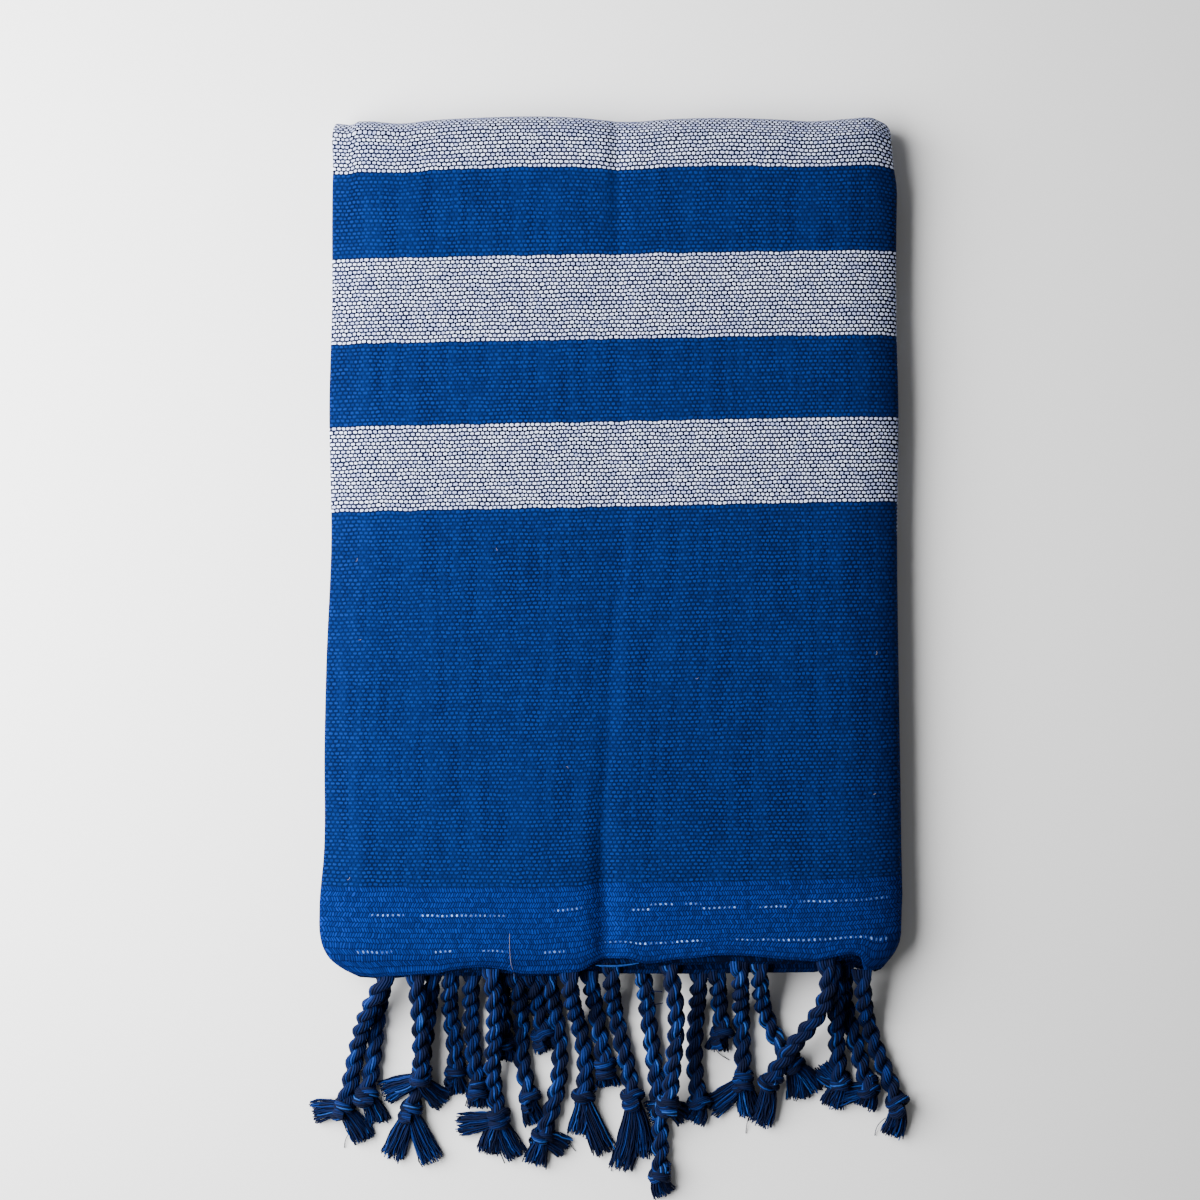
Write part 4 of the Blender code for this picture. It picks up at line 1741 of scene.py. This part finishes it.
class RopeTree(YarnTree):
    """Lays the yarns of a rope: plies that turn about each other, and yarns on each ply."""

    COLUMNS = ("thickness", "phase", "fan")
    TONE_SEED = 11

    def __init__(self, rope: RopeMake, material: bpy.types.Material) -> None:
        """Builds the tree.

        Args:
            rope: how the ropes are made.
            material: the yarns' finish.
        """
        sizes = {
            "Twist Pitch": rope.twist_pitch,
            "Ply Radius": rope.ply_radius,
            "Ring Radius": rope.ring_radius,
            "Yarn Radius": rope.yarn_radius,
            "Step": rope.step,
            "Fan Reach": rope.fan_reach,
            "Fan Spread": rope.fan_spread,
            "Fan Flatness": rope.fan_flatness,
            "Yarn Turn": rope.yarn_turn,
        }
        super().__init__("twisted_rope", sizes, {"Plies": rope.plies, "Yarns": rope.yarns})
        amount = self.nodes.math("MULTIPLY", self.given["Plies"], self.given["Yarns"])
        yarns, number = self.split(self.even("LENGTH", "Length", self.given["Step"]), amount)
        tone = self.nodes.math("POWER", self.random(self.TONE_SEED), rope.tone_bias)
        yarns = self.store(yarns, "tone", tone, "CURVE")
        moved = self.move(yarns, self.twist(number), self.given["Yarn Radius"])
        self.close(moved, self.given["Yarn Radius"], self.read("thickness"), rope.sides, material)

    def twist(self, number: Socket) -> Socket:
        """How far each point of a yarn stands off its rope's middle line.

        Args:
            number: the yarn's number in the rope.

        Returns:
            The offset's socket.
        """
        nodes = self.nodes
        ply = nodes.math("FLOOR", nodes.math("DIVIDE", number, self.given["Yarns"]))
        yarn = nodes.math("FLOORED_MODULO", number, self.given["Yarns"])
        length = nodes.add("GeometryNodeSplineParameter").outputs["Length"]
        fanned = nodes.math("MULTIPLY", self.given["Fan Reach"], self.read("fan"))
        turning = nodes.math("MAXIMUM", nodes.math("SUBTRACT", length, fanned), 0.0)
        turns = nodes.math("DIVIDE", turning, self.given["Twist Pitch"])
        about_rope = nodes.math("ADD", turns, nodes.math("DIVIDE", ply, self.given["Plies"]))
        about_rope = nodes.math("ADD", about_rope, self.read("phase"))
        about_ply = nodes.math("DIVIDE", yarn, self.given["Yarns"])
        about_ply = nodes.math("SUBTRACT", about_ply, nodes.math("MULTIPLY", turns, self.given["Yarn Turn"]))
        thickness = self.read("thickness")
        round_rope = self.circle(about_rope, nodes.math("MULTIPLY", self.given["Ply Radius"], thickness))
        round_ply = self.circle(about_ply, nodes.math("MULTIPLY", self.given["Ring Radius"], thickness))
        twisted = nodes.vector("ADD", round_rope, round_ply)
        loose = nodes.ramp(nodes.math("DIVIDE", length, self.given["Fan Reach"]), 0.0, 1.0, 1.0, 0.0)
        loose = nodes.math("MULTIPLY", loose, self.read("fan"))
        wider = nodes.math("MULTIPLY", nodes.math("SUBTRACT", self.given["Fan Spread"], 1.0), loose)
        wider = nodes.math("ADD", wider, 1.0)
        flatter = nodes.math("SUBTRACT", 1.0, nodes.math("MULTIPLY", self.given["Fan Flatness"], loose))
        return nodes.vector("MULTIPLY", twisted, nodes.combine(wider, 1.0, flatter))

    def circle(self, turns: Value, radius: Value) -> Socket:
        """A point on a circle about the spline.

        Args:
            turns: how far round it the point is.
            radius: the circle's radius.

        Returns:
            The point's offset from the spline.
        """
        nodes = self.nodes
        angle = nodes.math("MULTIPLY", turns, 2 * math.pi)
        normal = nodes.add("GeometryNodeInputNormal").outputs[0]
        tangent = nodes.add("GeometryNodeInputTangent").outputs[0]
        side = nodes.vector("CROSS_PRODUCT", tangent, normal)
        first = nodes.vector("SCALE", normal, nodes.math("MULTIPLY", nodes.math("COSINE", angle), radius))
        second = nodes.vector("SCALE", side, nodes.math("MULTIPLY", nodes.math("SINE", angle), radius))
        return nodes.vector("ADD", first, second)


class TuftTree(YarnTree):
    """Lays the loose yarns of a frayed lock, which spread from the knot to their cut ends.

    TRIM_END is the place of the Trim Curve node's end share. EVEN_TURN is the golden angle in
    radians, by which each yarn is turned from the one before, so that they fill a disc evenly.
    """

    COLUMNS = ("half_wide", "half_high")
    TONE_SEED = 21
    TRIM_SEED = 23
    TRIM_END = 3
    EVEN_TURN = 2.39996

    def __init__(self, rope: RopeMake, material: bpy.types.Material) -> None:
        """Builds the tree.

        Args:
            rope: how the ropes and their locks are made.
            material: the yarns' finish.
        """
        sizes = {
            "Yarn Radius": rope.loose_radius,
            "Waviness": rope.loose_wave,
            "Wave Scale": rope.loose_wave_scale,
            "Wave Apart": rope.loose_wave_apart,
        }
        super().__init__("frayed_lock", sizes, {"Yarns": rope.loose_yarns, "Points": rope.loose_points})
        nodes = self.nodes
        yarns, number = self.split(self.even("COUNT", "Count", self.given["Points"]), self.given["Yarns"])
        tone = nodes.math("POWER", self.random(self.TONE_SEED), rope.loose_tone_bias)
        yarns = self.store(yarns, "tone", tone, "CURVE")
        trimmed = nodes.add("GeometryNodeTrimCurve", mode="FACTOR")
        nodes.feed(trimmed.inputs["Curve"], yarns)
        nodes.feed(trimmed.inputs[self.TRIM_END], self.random(self.TRIM_SEED, rope.loose_shortest))
        moved = self.move(trimmed.outputs[0], self.spread(number), self.given["Yarn Radius"])
        self.close(moved, self.given["Yarn Radius"], 1.0, rope.loose_sides, material)

    def spread(self, number: Socket) -> Socket:
        """How far each point of a loose yarn stands off the lock's middle line.

        Args:
            number: the yarn's number in the lock.

        Returns:
            The offset's socket.
        """
        nodes = self.nodes
        angle = nodes.math("MULTIPLY", number, self.EVEN_TURN)
        share = nodes.math("SQRT", nodes.math("DIVIDE", nodes.math("ADD", number, 0.5), self.given["Yarns"]))
        tangent = nodes.add("GeometryNodeInputTangent").outputs[0]
        side = nodes.vector("NORMALIZE", nodes.vector("CROSS_PRODUCT", tangent, (0.0, 0.0, 1.0)))
        wide = nodes.math("MULTIPLY", nodes.math("COSINE", angle), share)
        wide = nodes.math("MULTIPLY", wide, self.read("half_wide"))
        high = nodes.math("MULTIPLY", nodes.math("SINE", angle), share)
        high = nodes.math("MULTIPLY", high, self.read("half_high"))
        place = nodes.add("GeometryNodeInputPosition").outputs[0]
        own = nodes.combine(nodes.math("MULTIPLY", number, self.given["Wave Apart"]), 0.0)
        noise = nodes.add("ShaderNodeTexNoise")
        nodes.feed(noise.inputs["Vector"], nodes.vector("ADD", place, own))
        nodes.feed(noise.inputs["Scale"], self.given["Wave Scale"])
        wave = nodes.vector("SUBTRACT", noise.outputs["Color"], (0.5, 0.5, 0.5))
        along = nodes.add("GeometryNodeSplineParameter").outputs["Factor"]
        wave = nodes.vector("SCALE", wave, nodes.math("MULTIPLY", along, self.given["Waviness"]))
        offset = nodes.vector("ADD", nodes.vector("SCALE", side, wide), nodes.combine(0.0, 0.0, high))
        return nodes.vector("ADD", offset, wave)


class ThreadTree(YarnTree):
    """Gives single loose yarns their thickness."""

    COLUMNS = ("shade",)

    def __init__(self, radius: float, sides: int, material: bpy.types.Material) -> None:
        """Builds the tree.

        Args:
            radius: a yarn's radius.
            sides: the number of faces round it.
            material: its finish.
        """
        super().__init__("loose_yarn", {"Yarn Radius": radius}, {})
        toned = self.store(self.curves(), "tone", self.read("shade"))
        self.close(toned, self.given["Yarn Radius"], 1.0, sides, material)


def lint_threads(pack: Pack) -> tuple[Thread, ...]:
    """The pieces of lint as threads that lie on the pack.

    Args:
        pack: how the cloth lies.

    Returns:
        One thread for each piece of lint.
    """
    threads = []
    top = (pack.levels * pack.level_pitch - pack.level_gap) / MM
    for lint in LINT:
        share = pack.height_left(np.array([lint.x * MM]), np.array([lint.y * MM]))
        height = top * float(share[0])
        reach_x = math.cos(math.radians(lint.turn)) * lint.length / 2
        reach_y = math.sin(math.radians(lint.turn)) * lint.length / 2
        ends = (lint.x - reach_x, lint.y - reach_y, lint.x + reach_x, lint.y + reach_y)
        threads.append(Thread(*ends, bow=lint.length * LINT_BOW, start_z=height, end_z=height, tone=0.0))
    return tuple(threads)


@dataclass(frozen=True)
class LooseYarns:
    """The single yarns that have come loose."""

    name: str
    threads: tuple[Thread, ...]
    radius: float = 0.2 * MM
    sides: int = 5
    steps: int = 10

    def build(self, material: bpy.types.Material) -> bpy.types.Object:
        """Builds the yarns.

        Args:
            material: their finish.

        Returns:
            The yarns as one piece.
        """
        guides = Guides(ThreadTree.COLUMNS)
        for thread in self.threads:
            start = Vector((thread.start_x, thread.start_y, thread.start_z)) * MM
            end = Vector((thread.end_x, thread.end_y, thread.end_z)) * MM
            side = (end - start).cross(Vector((0, 0, 1))).normalized() * thread.bow * MM
            shares = [index / self.steps for index in range(self.steps + 1)]
            points = [start.lerp(end, share) + side * math.sin(math.pi * share) for share in shares]
            guides.add(points, [(thread.tone,)] * len(points))
        return ThreadTree(self.radius, self.sides, material).apply(guides, self.name, material)


@dataclass(frozen=True)
class RopeMake:
    """How every rope, knot and lock of the fringe is made.

    A fan is the start of a rope, where its yarns leave the cloth side by side. yarn_turn is how far
    the yarns turn back about their ply while the plies turn once. A tone's bias is the power that
    makes dark yarns common and pale ones rare.
    """

    plies: int = 2
    yarns: int = 12
    sides: int = 4
    twist_pitch: float = 15.7 * MM
    ply_radius: float = 1.55 * MM
    ring_radius: float = 2.10 * MM
    yarn_radius: float = 0.58 * MM
    step: float = 1.5 * MM
    fan_reach: float = 3.0 * MM
    fan_spread: float = 1.15
    fan_flatness: float = 0.4
    yarn_turn: float = 0.55
    tone_bias: float = 2.2
    rest_height: float = 4.1 * MM
    knot_height: float = 5.0 * MM
    knot_reach: float = 6.0 * MM
    guide_step: float = 2.0 * MM
    knot_turns: float = 1.45
    knot_radius: float = 3.1 * MM
    knot_length: float = 6.0 * MM
    knot_thickness: float = 0.72
    knot_points: int = 22
    knot_tilt: float = 0.35
    loose_yarns: int = 84
    loose_points: int = 9
    loose_sides: int = 4
    loose_radius: float = 0.29 * MM
    loose_wave: float = 4.2 * MM
    loose_wave_scale: float = 160.0
    loose_wave_apart: float = 0.37
    loose_shortest: float = 0.82
    loose_tone_bias: float = 1.9
    lock_extra: float = 0.1
    lock_lean: float = 1.2 * MM
    lock_drop: float = 1.5
    lock_wide: tuple[float, ...] = (2.6 * MM, 4.2 * MM, 5.2 * MM, 5.8 * MM)
    lock_high: tuple[float, ...] = (2.4 * MM, 3.0 * MM, 2.6 * MM, 2.0 * MM)


@dataclass(frozen=True)
class Fringe:
    """The ropes of one end of the cloth, with their knots and frayed locks.

    Each rope starts root_depth inside the cloth's end and root_sink under the middle of its ply.
    """

    pack: Pack
    end: End
    ropes: tuple[Rope, ...]
    make: RopeMake = RopeMake()
    root_depth: float = 1.5 * MM
    root_sink: float = 1.5 * MM

    @property
    def name(self) -> str:
        """The fringe's plain name, which its pieces' names start with."""
        return self.end.name.lower() + "_fringe"

    def root(self, rope: Rope) -> Vector:
        """Where a rope leaves the cloth's end.

        Args:
            rope: the rope.

        Returns:
            The place.
        """
        station = self.pack.flat_stations(self.end.value, [self.pack.end_y])
        across = np.array([rope.root * MM])
        height = np.array([self.pack.ply_height(rope.ply) - self.root_sink])
        point = self.pack.settle(across, height, station)[0, 0]
        return Vector((float(point[0]), float(point[1]), float(point[2])))

    def middle(self, rope: Rope) -> list[Vector]:
        """The rope's middle line, from inside the cloth's end to its knot.

        Args:
            rope: the rope.

        Returns:
            Its points.
        """
        root = self.root(rope)
        length = root.y - rope.knot_y * MM
        steps = round(length / self.make.guide_step)
        points = [root + Vector((0, self.root_depth, 0))]
        for step in range(steps + 1):
            share = step / steps
            bow = rope.bow * MM * math.sin(math.pi * share)
            sway = rope.sway * MM * math.sin(2 * math.pi * share)
            x = root.x + (rope.knot_x * MM - root.x) * share + bow + sway
            y = root.y + (rope.knot_y * MM - root.y) * share
            out = root.y - y
            near_knot = math.exp(-(((y - rope.knot_y * MM) / self.make.knot_reach) ** 2))
            rest = self.make.rest_height + (self.make.knot_height - self.make.rest_height) * near_knot
            drop = min(1.0, out / (rope.droop * MM))
            z = rest + (root.z - rest) * (1 + math.cos(math.pi * drop)) / 2
            points.append(Vector((x, y, z)))
        return points

    def knot(self, middle: list[Vector], phase: float) -> list[Vector]:
        """The turns that the rope takes about itself in its knot.

        Args:
            middle: the rope's middle line.
            phase: where round the rope they start, in turns.

        Returns:
            The points of their middle line.
        """
        centre = middle[-1]
        along = (middle[-1] - middle[-3]).normalized()
        side = along.cross(Vector((0, 0, 1))).normalized()
        up = side.cross(along)
        points = []
        for index in range(self.make.knot_points):
            share = index / (self.make.knot_points - 1)
            angle = 2 * math.pi * (self.make.knot_turns * share + phase)
            forward = along * (share - 0.5) * self.make.knot_length
            tilt = along * math.cos(angle) * self.make.knot_radius * self.make.knot_tilt
            ring = (side * math.cos(angle) + up * math.sin(angle)) * self.make.knot_radius
            points.append(centre + forward + tilt + ring)
        return points

    def build(self, material: bpy.types.Material) -> list[bpy.types.Object]:
        """Builds the ropes with their knots, and the frayed locks.

        Args:
            material: the yarns' finish.

        Returns:
            The two pieces.
        """
        dice = random.Random(self.end.value)
        ropes = Guides(RopeTree.COLUMNS)
        locks = Guides(TuftTree.COLUMNS)
        for rope in self.ropes:
            middle = self.middle(rope)
            phase = dice.random()
            ropes.add(middle, [(1.0, phase, 1.0)] * len(middle))
            knot = self.knot(middle, dice.random())
            ropes.add(knot, [(self.make.knot_thickness, phase, 0.0)] * len(knot))
            tips = [(rope.tip_x, rope.tip_y)]
            tips += [(lock.tip_x, lock.tip_y) for lock in LOCKS if lock.rope == rope.name]
            for tip_x, tip_y in tips:
                self.add_lock(locks, middle[-1], Vector((tip_x * MM, tip_y * MM, 0.0)), dice)
        twisted = RopeTree(self.make, material).apply(ropes, self.name + "_ropes", material)
        frayed = TuftTree(self.make, material).apply(locks, self.name + "_locks", material)
        return [twisted, frayed]

    def add_lock(self, guides: Guides, knot: Vector, tip: Vector, dice: random.Random) -> None:
        """Adds the middle line of one frayed lock.

        Args:
            guides: where it goes.
            knot: the knot's middle.
            tip: the lock's farthest point.
            dice: the source of its small bends.
        """
        points = []
        numbers = []
        lean = dice.uniform(-1.0, 1.0) * self.make.lock_lean
        last = len(self.make.lock_wide) - 1
        side = (tip - knot).cross(Vector((0, 0, 1))).normalized()
        tip = tip + (tip - knot) * self.make.lock_extra
        for index in range(last + 1):
            share = index / last
            point = knot.lerp(tip, share) + side * lean * math.sin(math.pi * share)
            point.z = knot.z * (1 - share) ** self.make.lock_drop + self.make.lock_high[index] * share
            points.append(point)
            numbers.append((self.make.lock_wide[index], self.make.lock_high[index]))
        guides.add(points, numbers)


# The studio


@dataclass(frozen=True)
class Studio:
    """A pale floor, one broad soft light from the left, and a camera straight above.

    The light's height angle is over the floor and its side angle from +X towards +Y, in degrees.
    """

    camera_x: float = -6.58 * MM
    camera_y: float = -23.68 * MM
    camera_height: float = 1025.7 * MM
    lens: float = 68.4
    sensor: float = 36.0
    floor_size: float = 6.0
    light_distance: float = 0.63
    light_height_angle: float = 39.0
    light_side_angle: float = 173.0
    light_size: float = 0.75
    light_power: float = 27.5
    world_strength: float = 0.15
    floor_colour: Colour = (0.84, 0.84, 0.84, 1.0)
    floor_variation: float = 0.01
    world_colour: Colour = (1.0, 1.0, 1.0, 1.0)

    def build(self) -> None:
        """Builds the floor, the light and the camera."""
        self.add_floor()
        self.add_light()
        self.add_camera()

    def add_floor(self) -> None:
        """Adds the surface that the towel lies on."""
        half = self.floor_size / 2
        mesh = bpy.data.meshes.new("floor")
        corners = [(-half, -half, 0.0), (half, -half, 0.0), (half, half, 0.0), (-half, half, 0.0)]
        mesh.from_pydata(corners, [], [(0, 1, 2, 3)])
        finish = PlainFinish("pale_floor", self.floor_colour, self.floor_variation)
        plain_object("floor", mesh, finish.build())

    def add_light(self) -> None:
        """Adds the broad light and a faint even one."""
        lamp = bpy.data.lights.new("softbox", "AREA")
        lamp.shape = "SQUARE"
        lamp.size = self.light_size
        lamp.energy = self.light_power
        thing = bpy.data.objects.new("softbox", lamp)
        height = math.radians(self.light_height_angle)
        side = math.radians(self.light_side_angle)
        way = Vector((math.cos(height) * math.cos(side), math.cos(height) * math.sin(side), math.sin(height)))
        thing.location = way * self.light_distance
        thing.rotation_euler = way.to_track_quat("Z", "Y").to_euler()
        thing.visible_camera = False
        bpy.context.scene.collection.objects.link(thing)
        world = bpy.data.worlds.new("studio")
        world.use_nodes = True
        sky = world.node_tree.nodes["Background"]
        sky.inputs["Color"].default_value = self.world_colour
        sky.inputs["Strength"].default_value = self.world_strength
        bpy.context.scene.world = world

    def add_camera(self) -> None:
        """Adds the camera, which looks straight down."""
        lens = bpy.data.cameras.new("camera")
        lens.lens = self.lens
        lens.sensor_width = self.sensor
        thing = bpy.data.objects.new("camera", lens)
        thing.location = (self.camera_x, self.camera_y, self.camera_height)
        bpy.context.scene.collection.objects.link(thing)
        bpy.context.scene.camera = thing


def settle_piece(piece: bpy.types.Object, nodes: tuple[str, ...] = ()) -> None:
    """Ties a finished piece to the frame and reports it.

    Args:
        piece: the piece.
        nodes: the solids that it replaces.
    """
    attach(piece, BODY)
    if nodes:
        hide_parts(*nodes)
    LOG.info("%s: %d faces", piece.name, len(piece.data.polygons))


def main() -> None:
    """Builds every piece of the towel in order, and the studio round it."""
    logging.basicConfig(level=logging.INFO, format="%(name)s: %(message)s")
    pack = Pack()
    Studio().build()
    cloth = Cloth(pack).build(WovenCotton().build())
    settle_piece(cloth, ("folded_cloth",))
    cotton = TwistedCotton().build()
    trimmings = []
    fringes = (
        (End.UPPER, UPPER_ROPES, "fringe_upper"),
        (End.LOWER, LOWER_ROPES, "fringe_lower"),
    )
    for end, ropes, node in fringes:
        twisted, frayed = Fringe(pack, end, ropes).build(cotton)
        settle_piece(twisted, (node,))
        settle_piece(frayed)
        trimmings += [twisted, frayed]
    stray = LooseYarns("loose_yarns", LOOSE_YARNS).build(cotton)
    settle_piece(stray)
    pale_cotton = PlainFinish("pale_cotton", PALE).build()
    pale = LooseYarns("pale_threads", PALE_THREADS + lint_threads(pack), LINT_RADIUS).build(pale_cotton)
    settle_piece(pale)
    trimmings += [stray, pale]


if __name__ == "__main__":
    main()
